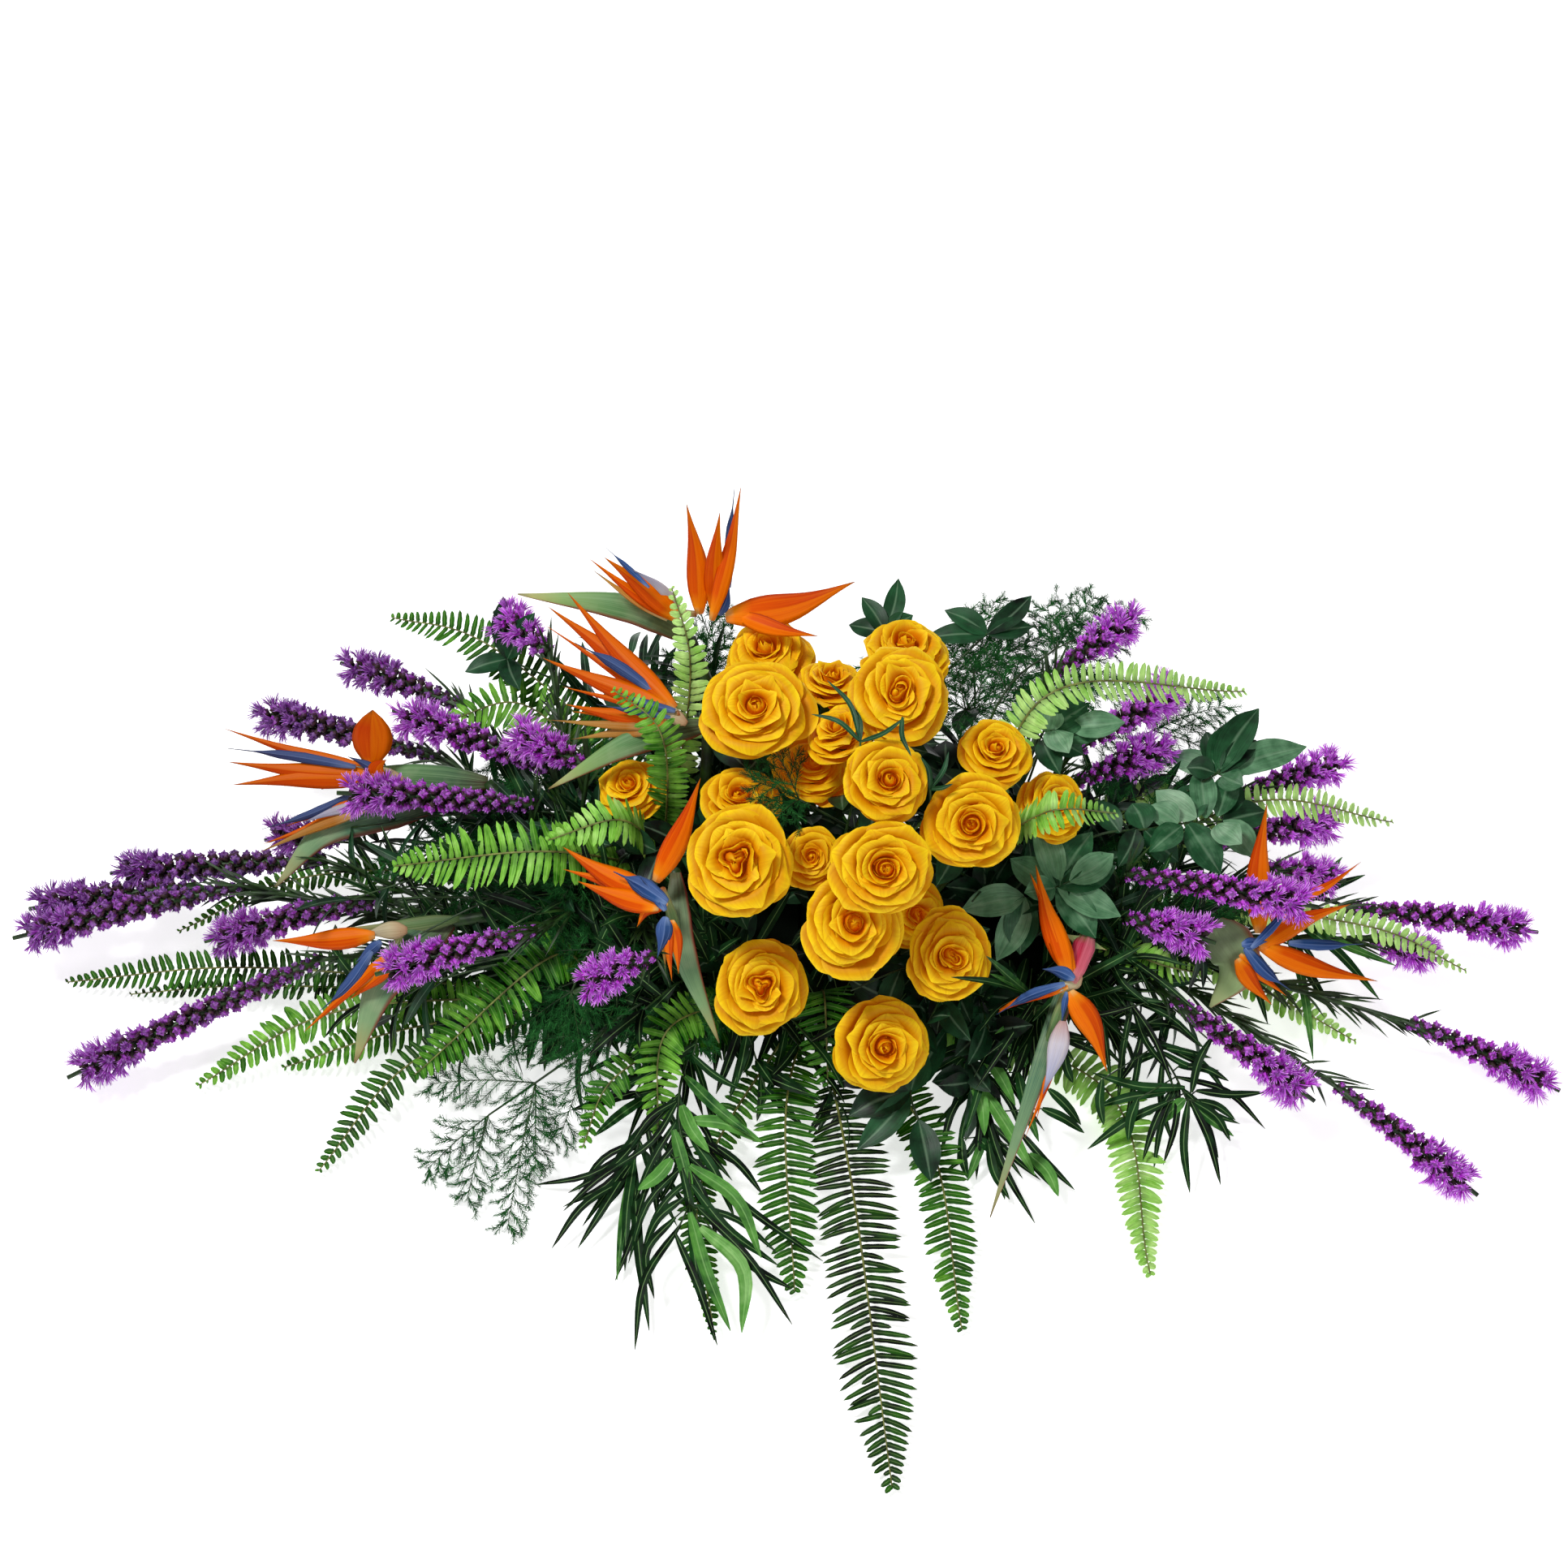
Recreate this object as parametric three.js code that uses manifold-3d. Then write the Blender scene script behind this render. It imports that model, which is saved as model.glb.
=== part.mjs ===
// A casket spray: a low, wide bank of cut flowers and greens that fans out from a long brick of
// wet foam in a shallow tray. Yellow roses make the dome, birds of paradise and purple liatris
// spikes reach out of it, and sword fern, ruscus, podocarpus and plumosa fill and trail below.
//
// Millimetres, +Z up, +X along the spray, -Y towards the front. The origin is the centre of the
// tray's flat underside, and the tray is all that stands on the table.
//
// Every stem is placed from one photograph of the spray. A place is written as [column, row,
// height]: the photograph's pixel, and the height above the table in millimetres.

import * as THREE from "three";
import { mergeVertices } from "three/addons/utils/BufferGeometryUtils.js";
import Module from "manifold-3d";

const wasm = await Module();
wasm.setup();

// How the photograph looks at the spray
const LOOK_DOWN = THREE.MathUtils.degToRad(50);
const EYE_DISTANCE = 3400;
const MM_PER_PIXEL = 0.75;
const PHOTO_MIDDLE = [966, 966];
const ORIGIN_PIXEL = [985, 1190];

// The holder
const FOAM = { length: 460, depth: 110, bottom: 6.3, top: 92 };
const TRAY = { length: 490, depth: 140, height: 24, floor: 6, wall: 3, corner: 26 };
const CLEARANCE = 0.35;
const SMOOTHING = 0.3;
const BUNDLE = { radius: 8, inside: 30, outside: 12 };
const STEM_RADIUS = 2.2;

// Flower and leaf sizes that every copy shares
const PETAL_LOBES = 5;
const ROSE_FOOT = 0.62;
const SPIKE = { core: 9, floret: 17, pitch: 24, sides: 5, stem: 2.2 };
const FROND = { keel: 2.2, rib: 1.8, pitch: 40 };
const RUSCUS_LEAF_WIDTH = 30;
const NARROW_LEAF_WIDTH = 10;
const PLUME = { core: 1.3, reach: 15, pitch: 20 };

const COLOURS = {
  tray: [0x1c2a20, 0.45],
  foam: [0x1f3d27, 0.95],
  petal: [0xf9b90c, 0.55],
  rose_stem: [0x3c6e2c, 0.6],
  sepal: [0xee6a10, 0.45],
  spathe: [0x5f8a63, 0.5],
  liatris: [0x8a2fb5, 0.75],
  fern: [0x3f8a22, 0.55],
  ruscus: [0x24502f, 0.4],
  podocarpus: [0x1f4a2a, 0.45],
  plumosa: [0x2a6a35, 0.7],
};

// Where a stem bundle stands in the foam: its middle on the foam's face and the way out of it
const ROOTS = {
  rose_stems_left: { at: [-78, -10, FOAM.top], out: [0, 0, 1] },
  rose_stems_centre: { at: [28, 4, FOAM.top], out: [0, 0, 1] },
  rose_stems_right: { at: [118, -10, FOAM.top], out: [0, 0, 1] },
  liatris_left_back: { at: [-196, 30, FOAM.top], out: [0, 0, 1] },
  liatris_left_front: { at: [-FOAM.length / 2, -12, 66], out: [-1, 0, 0] },
  liatris_front: { at: [-150, -8, FOAM.top], out: [0, 0, 1] },
  liatris_right_back: { at: [184, 34, FOAM.top], out: [0, 0, 1] },
  liatris_right_front: { at: [FOAM.length / 2, -12, 66], out: [1, 0, 0] },
  fern_left_low: { at: [-180, -FOAM.depth / 2, 34], out: [0, -1, 0] },
  fern_left_high: { at: [-120, 30, FOAM.top], out: [0, 0, 1] },
  fern_front: { at: [10, -FOAM.depth / 2, 34], out: [0, -1, 0] },
  fern_right_high: { at: [150, 30, FOAM.top], out: [0, 0, 1] },
  fern_right_low: { at: [FOAM.length / 2, 28, 60], out: [1, 0, 0] },
  fern_back: { at: [-40, FOAM.depth / 2, 36], out: [0, 1, 0] },
  ruscus_back: { at: [-62, 36, FOAM.top], out: [0, 0, 1] },
  ruscus_right: { at: [168, -6, FOAM.top], out: [0, 0, 1] },
  ruscus_front: { at: [150, -FOAM.depth / 2, 64], out: [0, -1, 0] },
  podocarpus_left: { at: [-70, -FOAM.depth / 2, 62], out: [0, -1, 0] },
  podocarpus_right: { at: [206, -FOAM.depth / 2, 34], out: [0, -1, 0] },
  plumosa_left: { at: [-130, -FOAM.depth / 2, 66], out: [0, -1, 0] },
  plumosa_right: { at: [120, FOAM.depth / 2, 62], out: [0, 1, 0] },
};

// Roses: the bloom's middle, its width, the way it faces in the photograph (right, up), its stem
const ROSES = [
  { name: "rose_01", at: [946, 806, 300], width: 80, faces: [-0.1, 0.65], node: "rose_stems_centre" },
  { name: "rose_02", at: [932, 872, 335], width: 92, faces: [-0.05, 0.25], node: "rose_stems_left" },
  { name: "rose_03", at: [1024, 841, 308], width: 58, faces: [0.25, 1.1], node: "rose_stems_centre" },
  { name: "rose_04", at: [1117, 800, 290], width: 80, faces: [0.1, 0.85], node: "rose_stems_centre" },
  { name: "rose_05", at: [1109, 855, 352], width: 85, faces: [0.05, 0.3], node: "rose_stems_centre" },
  { name: "rose_06", at: [1035, 902, 317], width: 62, faces: [-0.4, 0.9], node: "rose_stems_centre" },
  { name: "rose_07", at: [1002, 945, 262], width: 70, faces: [0.1, 0.6], node: "rose_stems_centre" },
  { name: "rose_08", at: [1093, 963, 335], width: 75, faces: [0.15, 0.2], node: "rose_stems_centre" },
  { name: "rose_09", at: [1227, 926, 285], width: 66, faces: [0.15, 0.45], node: "rose_stems_right" },
  { name: "rose_10", at: [1198, 1015, 300], width: 84, faces: [0.05, -0.05], node: "rose_stems_right" },
  {
    name: "rose_11", at: [1299, 993, 235], width: 64, faces: [0.45, 0.3],
    node: "rose_stems_right", arch: 40,
  },
  { name: "rose_12", at: [776, 970, 222], width: 62, faces: [-0.2, 0.5], node: "rose_stems_left" },
  { name: "rose_13", at: [912, 984, 255], width: 70, faces: [0, 0.6], node: "rose_stems_left" },
  { name: "rose_14", at: [910, 1060, 290], width: 94, faces: [-0.05, 0.12], node: "rose_stems_left" },
  { name: "rose_15", at: [1000, 1055, 255], width: 55, faces: [0, 0.15], node: "rose_stems_centre" },
  { name: "rose_16", at: [1089, 1069, 311], width: 84, faces: [0.05, 0], node: "rose_stems_centre" },
  { name: "rose_17", at: [1051, 1140, 250], width: 86, faces: [0.08, 0.08], node: "rose_stems_centre" },
  { name: "rose_18", at: [1126, 1128, 166], width: 64, faces: [0.5, -0.1], node: "rose_stems_right" },
  { name: "rose_19", at: [1171, 1181, 195], width: 76, faces: [0.05, 0], node: "rose_stems_right" },
  { name: "rose_20", at: [938, 1216, 165], width: 82, faces: [0.05, 0.05], node: "rose_stems_left" },
  {
    name: "rose_21", at: [1087, 1290, 125], width: 84, faces: [0.15, -0.15],
    node: "rose_stems_right", arch: 34,
  },
];

// Birds of paradise: the base of the sepals, the beak's point and neck, the stem's foot on the foam
const BIRDS = [
  {
    name: "bird_top", base: [858, 762, 330], beak: [638, 732, 325],
    neck: [850, 785, 300], foot: [-30, 34],
    sepals: [[846, 621, 440], [887, 631, 450], [913, 600, 462], [1053, 717, 345],
      [1008, 784, 345], [727, 689, 385], [745, 687, 400]],
    tongues: [[896, 650, 440], [747, 675, 410]],
  },
  {
    name: "bird_upper_left", base: [837, 884, 300], beak: [676, 972, 232],
    neck: [872, 893, 280], foot: [-88, 20],
    sepals: [[700, 731, 345], [671, 771, 330], [674, 811, 312], [693, 846, 296], [697, 868, 282],
      [678, 887, 268], [704, 910, 255]],
    tongues: [[708, 790, 335], [755, 850, 300]],
  },
  {
    name: "bird_left", base: [455, 950, 185], beak: [396, 972, 150],
    neck: [600, 965, 168], foot: [-214, 8],
    sepals: [[277, 898, 195], [282, 939, 178], [287, 967, 165], [459, 875, 238]],
    tongues: [[280, 922, 186]],
  },
  {
    name: "bird_left_low", base: [440, 985, 150], beak: [339, 1093, 100],
    neck: [540, 985, 140], foot: [-196, -31],
    sepals: [[324, 1040, 132], [352, 1018, 142]],
    tongues: [[328, 1020, 146]],
  },
  {
    name: "bird_left_front", base: [495, 1150, 140], beak: [437, 1310, 55],
    neck: [552, 1136, 134], foot: [-172, -30],
    sepals: [[339, 1159, 140], [374, 1270, 92], [435, 1232, 100]],
    tongues: [[400, 1241, 105]],
  },
  {
    name: "bird_centre", base: [816, 1100, 240], beak: [886, 1285, 110],
    neck: [832, 1076, 232], foot: [-124, -14],
    sepals: [[863, 959, 330], [694, 1044, 242], [694, 1071, 226], [785, 1142, 215], [828, 1209, 180]],
    tongues: [[762, 1072, 252], [812, 1191, 185]],
  },
  {
    name: "bird_front_right", base: [1318, 1212, 155], beak: [1220, 1500, 25],
    neck: [1332, 1165, 152], foot: [184, -38],
    sepals: [[1277, 1067, 220], [1217, 1253, 130], [1365, 1318, 92], [1263, 1402, 76]],
    tongues: [[1240, 1245, 142], [1285, 1348, 96]],
  },
  {
    name: "bird_right", base: [1545, 1165, 120], beak: [1491, 1241, 72],
    neck: [1498, 1138, 118], foot: [205, -34],
    sepals: [[1561, 990, 200], [1674, 1062, 132], [1664, 1114, 115], [1697, 1209, 82], [1585, 1227, 76]],
    tongues: [[1678, 1163, 104], [1589, 1219, 84]],
  },
];

// Liatris spikes: the tip, and the foot of the flowering part
const SPIKES = [
  { node: "liatris_left_back", tip: [609, 754, 240], foot: [676, 803, 240] },
  { node: "liatris_left_back", tip: [420, 817, 150], foot: [571, 870, 172] },
  { node: "liatris_left_back", tip: [312, 877, 122], foot: [540, 933, 150] },
  { node: "liatris_left_back", tip: [484, 875, 190], foot: [679, 950, 192] },
  { node: "liatris_left_back", tip: [620, 901, 225], foot: [725, 945, 212] },
  { node: "liatris_left_front", tip: [415, 977, 183], foot: [661, 993, 176] },
  { node: "liatris_left_front", tip: [326, 1035, 84], foot: [430, 1031, 92] },
  { node: "liatris_left_front", tip: [136, 1076, 75], foot: [400, 1060, 104] },
  { node: "liatris_left_front", tip: [36, 1120, 55], foot: [240, 1092, 84] },
  { node: "liatris_left_front", tip: [16, 1156, 62], foot: [300, 1092, 95] },
  { node: "liatris_left_front", tip: [252, 1160, 80], foot: [469, 1107, 110] },
  { node: "liatris_left_front", tip: [83, 1328, 35], foot: [393, 1183, 80] },
  { node: "liatris_front", tip: [462, 1201, 150], foot: [661, 1147, 168] },
  { node: "liatris_front", tip: [707, 1223, 190], foot: [805, 1178, 190] },
  { node: "liatris_right_back", tip: [1404, 756, 230], foot: [1299, 830, 232] },
  { node: "liatris_right_back", tip: [1455, 845, 200], foot: [1321, 926, 215] },
  { node: "liatris_right_back", tip: [1446, 917, 170], foot: [1328, 964, 190] },
  { node: "liatris_right_back", tip: [1661, 939, 110], foot: [1527, 979, 132] },
  { node: "liatris_right_back", tip: [1652, 1010, 90], foot: [1504, 1037, 115] },
  { node: "liatris_right_front", tip: [1625, 1118, 170], foot: [1388, 1077, 180] },
  { node: "liatris_right_front", tip: [1658, 1086, 85], foot: [1560, 1071, 95] },
  { node: "liatris_right_front", tip: [1498, 1162, 150], foot: [1386, 1131, 160] },
  { node: "liatris_right_front", tip: [1895, 1149, 45], foot: [1660, 1118, 70] },
  { node: "liatris_right_front", tip: [1777, 1185, 40], foot: [1690, 1158, 52] },
  { node: "liatris_right_front", tip: [1922, 1344, 30], foot: [1736, 1259, 50] },
  { node: "liatris_right_front", tip: [1620, 1357, 70], foot: [1446, 1232, 110] },
  { node: "liatris_right_front", tip: [1821, 1473, 25], foot: [1647, 1339, 45] },
];

// Sword fern fronds: where the rib bends over, the tip, and the width across the leaflets
const FRONDS = [
  { node: "fern_back", bend: [594, 790, 215], tip: [484, 761, 200], width: 50 },
  { node: "fern_back", bend: [830, 960, 60], tip: [800, 880, 12], width: 50 },
  { node: "fern_back", bend: [895, 955, 62], tip: [880, 862, 12], width: 50 },
  { node: "fern_back", bend: [975, 955, 60], tip: [965, 855, 12], width: 50 },
  { node: "fern_back", bend: [1045, 960, 62], tip: [1060, 857, 12], width: 50 },
  { node: "fern_back", bend: [1110, 965, 60], tip: [1150, 866, 12], width: 50 },
  { node: "fern_back", bend: [1160, 975, 58], tip: [1240, 888, 12], width: 46 },
  { node: "fern_left_high", bend: [645, 868, 197], tip: [551, 888, 177], width: 58 },
  { node: "fern_left_high", bend: [670, 1049, 221], tip: [487, 1067, 175], width: 62 },
  { node: "fern_left_high", bend: [760, 1010, 262], tip: [676, 1035, 240], width: 46 },
  { node: "fern_left_high", bend: [810, 895, 327], tip: [756, 850, 324], width: 38 },
  { node: "fern_left_high", bend: [850, 810, 322], tip: [828, 725, 372], width: 34 },
  { node: "fern_left_low", bend: [300, 1192, 45], tip: [83, 1210, 12], width: 40 },
  { node: "fern_left_low", bend: [290, 1215, 30], tip: [161, 1225, 9], width: 26 },
  { node: "fern_back", bend: [380, 1080, 60], tip: [221, 1147, 30], width: 30 },
  { node: "fern_left_low", bend: [402, 1250, 50], tip: [245, 1337, 12], width: 42 },
  { node: "fern_left_low", bend: [500, 1268, 44], tip: [350, 1315, 10], width: 38 },
  { node: "fern_left_low", bend: [509, 1308, 36], tip: [393, 1442, 9], width: 38 },
  { node: "fern_left_low", bend: [690, 1175, 130], tip: [511, 1324, 60], width: 56 },
  { node: "fern_front", bend: [755, 1330, 72], tip: [718, 1413, 40], width: 38 },
  { node: "fern_front", bend: [822, 1270, 110], tip: [810, 1395, 42], width: 46 },
  { node: "fern_front", bend: [863, 1462, 16], tip: [879, 1641, 8], width: 34 },
  { node: "fern_front", bend: [969, 1360, 60], tip: [979, 1590, 12], width: 56 },
  { node: "fern_front", bend: [1016, 1230, 120], tip: [1020, 1335, 62], width: 54 },
  { node: "fern_front", bend: [1048, 1450, 34], tip: [1099, 1831, 8], width: 72 },
  { node: "fern_front", bend: [1140, 1395, 30], tip: [1185, 1637, 8], width: 48 },
  { node: "fern_front", bend: [1360, 1340, 24], tip: [1417, 1569, 8], width: 50 },
  { node: "fern_right_high", bend: [1290, 857, 290], tip: [1533, 852, 225], width: 40 },
  { node: "fern_right_high", bend: [1300, 998, 302], tip: [1375, 1002, 272], width: 40 },
  { node: "fern_right_low", bend: [1545, 988, 140], tip: [1716, 1013, 88], width: 34 },
  { node: "fern_right_low", bend: [1700, 1145, 78], tip: [1806, 1196, 44], width: 30 },
  { node: "fern_right_low", bend: [1571, 1228, 42], tip: [1670, 1283, 20], width: 30 },
  { node: "fern_right_low", bend: [1420, 1185, 130], tip: [1480, 1200, 96], width: 34 },
];

// Leafy stems: the way the stem goes, and for each leaf where it leaves the stem and where it ends
const RUSCUS = [
  {
    node: "ruscus_back", stem: [[720, 860, 185], [625, 812, 215]],
    leaves: [[1, [620, 735, 228]], [1, [659, 755, 235]], [1, [573, 828, 205]]],
  },
  {
    node: "ruscus_back", stem: [[1080, 815, 244], [1091, 779, 268]],
    leaves: [[1, [1107, 713, 285]], [1, [1062, 736, 280]], [1, [1125, 758, 275]], [1, [1046, 770, 262]],
      [1, [1147, 779, 262]]],
  },
  {
    node: "ruscus_back", stem: [[1216, 781, 252]],
    leaves: [[0, [1164, 752, 262]], [0, [1271, 734, 258]], [0, [1272, 772, 248]], [0, [1140, 786, 250]]],
  },
  {
    node: "ruscus_back", stem: [[815, 915, 62], [775, 885, 58]],
    leaves: [[0, [850, 880, 52]], [1, [800, 840, 50]], [1, [745, 850, 52]], [1, [715, 885, 48]]],
  },
  {
    node: "ruscus_right", stem: [[1290, 900, 250]],
    leaves: [[0, [1340, 868, 262]], [0, [1362, 905, 248]], [0, [1335, 930, 238]]],
  },
  {
    node: "ruscus_right", stem: [[1500, 953, 176]],
    leaves: [[0, [1551, 873, 188]], [0, [1610, 920, 160]], [0, [1520, 895, 182]], [0, [1440, 930, 165]]],
  },
  {
    node: "ruscus_right",
    stem: [[1350, 1030, 184], [1410, 1022, 176], [1463, 1014, 166], [1506, 1012, 156]],
    leaves: [[1, [1452, 1062, 150]], [1, [1395, 990, 178]], [2, [1504, 1077, 138]], [2, [1470, 965, 162]],
      [3, [1545, 1056, 138]], [3, [1560, 1000, 140]]],
  },
  {
    node: "ruscus_front", stem: [[1300, 1130, 165], [1303, 1092, 190]],
    leaves: [[1, [1277, 1009, 213]], [1, [1245, 1058, 195]], [1, [1346, 1025, 205]], [1, [1375, 1067, 195]],
      [1, [1381, 1129, 175]], [1, [1350, 1156, 165]]],
  },
  {
    node: "ruscus_front", stem: [[1262, 1105, 172]],
    leaves: [[0, [1185, 1121, 165]], [0, [1228, 1184, 135]], [0, [1257, 1176, 140]]],
  },
  {
    node: "ruscus_front", stem: [[1122, 1345, 66], [1132, 1380, 58]],
    leaves: [[0, [1137, 1290, 88]], [0, [1166, 1270, 78]], [0, [1056, 1417, 46]], [1, [1147, 1456, 38]],
      [0, [1046, 1375, 58]]],
  },
];
const PODOCARPUS = [
  {
    node: "podocarpus_left", stem: [[838, 1340, 66], [838, 1392, 60], [848, 1432, 54], [850, 1484, 48]],
    leaves: [[0, [874, 1420, 62]], [0, [940, 1408, 58]], [0, [924, 1398, 70]], [1, [786, 1466, 44]],
      [2, [938, 1550, 40]], [3, [914, 1642, 30]], [3, [880, 1652, 24]], [3, [976, 1632, 26]],
      [3, [806, 1600, 24]], [2, [1014, 1554, 28]]],
  },
  {
    node: "podocarpus_left", stem: [[800, 1370, 36], [781, 1430, 26]],
    leaves: [[1, [712, 1538, 12]], [1, [680, 1538, 10]], [1, [760, 1578, 10]],
      [0, [732, 1400, 40]], [1, [800, 1640, 8]]],
  },
  {
    node: "podocarpus_right", stem: [[1290, 1240, 95], [1272, 1227, 118]],
    leaves: [[1, [1172, 1204, 240]], [1, [1220, 1200, 200]], [1, [1215, 1178, 232]],
      [0, [1226, 1274, 110]]],
  },
  {
    node: "podocarpus_right", stem: [[1384, 1176, 130]],
    leaves: [[0, [1444, 1050, 165]], [0, [1399, 1023, 172]]],
  },
  {
    node: "podocarpus_right", stem: [[1215, 1290, 60], [1212, 1350, 40], [1214, 1400, 25]],
    leaves: [[0, [1251, 1362, 52]], [0, [1174, 1272, 75]], [0, [1190, 1395, 42]], [0, [1336, 1396, 22]],
      [1, [1275, 1448, 28]], [1, [1324, 1466, 10]], [2, [1275, 1507, 8]], [2, [1192, 1455, 10]],
      [2, [1238, 1478, 9]]],
  },
  {
    node: "podocarpus_right",
    stem: [[1388, 1230, 95], [1420, 1282, 75], [1444, 1318, 60], [1462, 1354, 48]],
    leaves: [[3, [1350, 1364, 40]], [3, [1340, 1416, 20]], [3, [1408, 1430, 22]], [3, [1466, 1470, 8]],
      [3, [1504, 1460, 10]], [3, [1520, 1400, 24]], [3, [1558, 1346, 38]], [2, [1346, 1322, 58]],
      [2, [1514, 1332, 52]], [2, [1496, 1274, 78]], [1, [1360, 1386, 34]], [0, [1448, 1246, 88]]],
  },
];
const PLUMOSA = [
  {
    node: "plumosa_left", stem: [[740, 1275, 86], [660, 1334, 60], [602, 1374, 38]],
    leaves: [[0, [690, 1400, 35]], [0, [620, 1290, 70]], [1, [530, 1335, 48]], [1, [660, 1440, 20]],
      [1, [625, 1515, 12]], [2, [527, 1440, 12]], [2, [575, 1480, 12]]],
  },
  {
    node: "plumosa_left", stem: [[730, 1060, 190]],
    leaves: [[0, [690, 1110, 170]], [0, [620, 1050, 160]]],
  },
  {
    node: "plumosa_right", stem: [[1240, 850, 232], [1300, 800, 225]],
    leaves: [[1, [1400, 760, 205]], [1, [1350, 735, 215]], [0, [1190, 760, 240]], [1, [1290, 745, 230]],
      [0, [1330, 860, 190]]],
  },
  {
    node: "plumosa_right", stem: [[1420, 900, 170]],
    leaves: [[0, [1510, 870, 150]], [0, [1500, 930, 140]], [0, [1440, 850, 175]]],
  },
  {
    node: "plumosa_right", stem: [[1400, 1010, 144], [1450, 1100, 112]],
    leaves: [[1, [1530, 1105, 108]], [1, [1520, 1150, 98]], [1, [1440, 1150, 105]]],
  },
  {
    node: "plumosa_right", stem: [[1120, 890, 100]],
    leaves: [[0, [1180, 830, 90]], [0, [1060, 820, 90]], [0, [1120, 810, 100]]],
  },
];

// How a photograph pixel at a height above the table becomes a place on the spray
const rightward = new THREE.Vector3(1, 0, 0);
const upward = new THREE.Vector3(0, Math.sin(LOOK_DOWN), Math.cos(LOOK_DOWN));
const eyeward = new THREE.Vector3(0, -Math.cos(LOOK_DOWN), Math.sin(LOOK_DOWN));
const eye = eyeward
  .clone()
  .multiplyScalar(EYE_DISTANCE)
  .addScaledVector(rightward, -(ORIGIN_PIXEL[0] - PHOTO_MIDDLE[0]) * MM_PER_PIXEL)
  .addScaledVector(upward, (ORIGIN_PIXEL[1] - PHOTO_MIDDLE[1]) * MM_PER_PIXEL);

function place([column, row, height]) {
  const ray = eyeward
    .clone()
    .multiplyScalar(-EYE_DISTANCE)
    .addScaledVector(rightward, (column - PHOTO_MIDDLE[0]) * MM_PER_PIXEL)
    .addScaledVector(upward, -(row - PHOTO_MIDDLE[1]) * MM_PER_PIXEL);
  return eye.clone().addScaledVector(ray, (height - eye.z) / ray.z);
}

// A closed geometry as a body that can be joined and cut
function solidOf(geometry) {
  geometry.deleteAttribute("normal");
  geometry.deleteAttribute("uv");
  const welded = mergeVertices(geometry, 1e-3);
  return new wasm.Manifold(
    new wasm.Mesh({
      numProp: 3,
      vertProperties: welded.attributes.position.array,
      triVerts: new Uint32Array(welded.index.array),
    }),
  );
}

// A geometry over rings of equally many points, closed by a fan at either end
function skin(rings) {
  const count = rings[0].length;
  const triangles = [];
  for (let i = 0; i + 1 < rings.length; i++) {
    for (let j = 0; j < count; j++) {
      const a = i * count + j;
      const b = i * count + ((j + 1) % count);
      triangles.push([a, b + count, b], [a, a + count, b + count]);
    }
  }
  const last = (rings.length - 1) * count;
  for (let j = 1; j + 1 < count; j++) {
    triangles.push([0, j, j + 1], [last, last + j + 1, last + j]);
  }
  const geometry = new THREE.BufferGeometry().setFromPoints(rings.flat());
  geometry.setIndex(triangles.flat());
  return solidOf(geometry);
}

function joined(solids) {
  return solids.reduce((whole, next) => whole.add(next));
}

// The body itself, without the specks and bubbles that cuts and joins may leave
function whole(solid) {
  return solid.decompose().reduce((most, next) => (next.volume() > most.volume() ? next : most));
}

function curveThrough(points) {
  if (points.length === 2) return new THREE.LineCurve3(...points);
  return new THREE.CatmullRomCurve3(points, false, "centripetal");
}

// A smooth line through some places, with the way it runs at each step. It is cut into equal
// lengths, or, where it has to go through the places themselves, into equal parts between them.
function line(points, steps, { through = false } = {}) {
  const curve = curveThrough(points);
  const places = through ? curve.getPoints(steps) : curve.getSpacedPoints(steps);
  return places.map((at, i) => {
    const before = places[Math.max(i - 1, 0)];
    const after = places[Math.min(i + 1, steps)];
    return { at, along: after.clone().sub(before).normalize() };
  });
}

// The sideways and upward directions of a leaf whose face looks towards `face`
function lie(along, face) {
  const across = new THREE.Vector3().crossVectors(along, face).normalize();
  return { across, out: new THREE.Vector3().crossVectors(across, along).normalize() };
}

const SKYWARD = new THREE.Vector3(0, -0.35, 0.94).normalize();

function stem(points, radius, { grow = 0, sides = 3, steps = points.length - 1, taper = 0.7 } = {}) {
  const rings = line(points, steps, { through: true }).map(({ at, along }, i) => {
    const { across, out } = lie(along, Math.abs(along.z) > 0.9 ? rightward : SKYWARD);
    const r = radius * (1 - ((1 - taper) * i) / steps) + grow;
    return Array.from({ length: sides }, (_, j) => {
      const turn = (2 * Math.PI * j) / sides;
      return at
        .clone()
        .addScaledVector(across, r * Math.cos(turn))
        .addScaledVector(out, r * Math.sin(turn));
    });
  });
  return skin(rings);
}

// A petal or beak: wide in its middle, pointed at its ends, ridged along its top and flat below
function spindle(points, widths, depth, { face = eyeward, grow = 0 } = {}) {
  const rings = line(points, widths.length - 1).map(({ at, along }, i) => {
    const { across, out } = lie(along, face);
    const half = widths[i] / 2 + 1.7 * grow;
    const ridge = (widths[i] / 2) * depth + grow;
    return [
      at.clone().addScaledVector(out, 1.2 * ridge),
      at.clone().addScaledVector(across, -half).addScaledVector(out, -0.6 * ridge),
      at.clone().addScaledVector(across, half).addScaledVector(out, -0.6 * ridge),
    ];
  });
  return skin(rings);
}

// A stem covered in bumps: every second corner of every second ring stands out
function knobbly(points, rings, sides, radiusAt, lean) {
  const steps = line(points, rings);
  return skin(
    steps.map(({ at, along }, i) => {
      const { across, out } = lie(along, SKYWARD);
      return Array.from({ length: sides }, (_, j) => {
        const stands = (i + j) % 2 === 0;
        const turn = (2 * Math.PI * (j + 0.5 * (i % 2))) / sides;
        const r = radiusAt(i / rings, stands);
        return at
          .clone()
          .addScaledVector(across, r * Math.cos(turn))
          .addScaledVector(out, r * Math.sin(turn))
          .addScaledVector(along, stands && i > 0 ? lean : 0);
      });
    }),
  );
}

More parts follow.
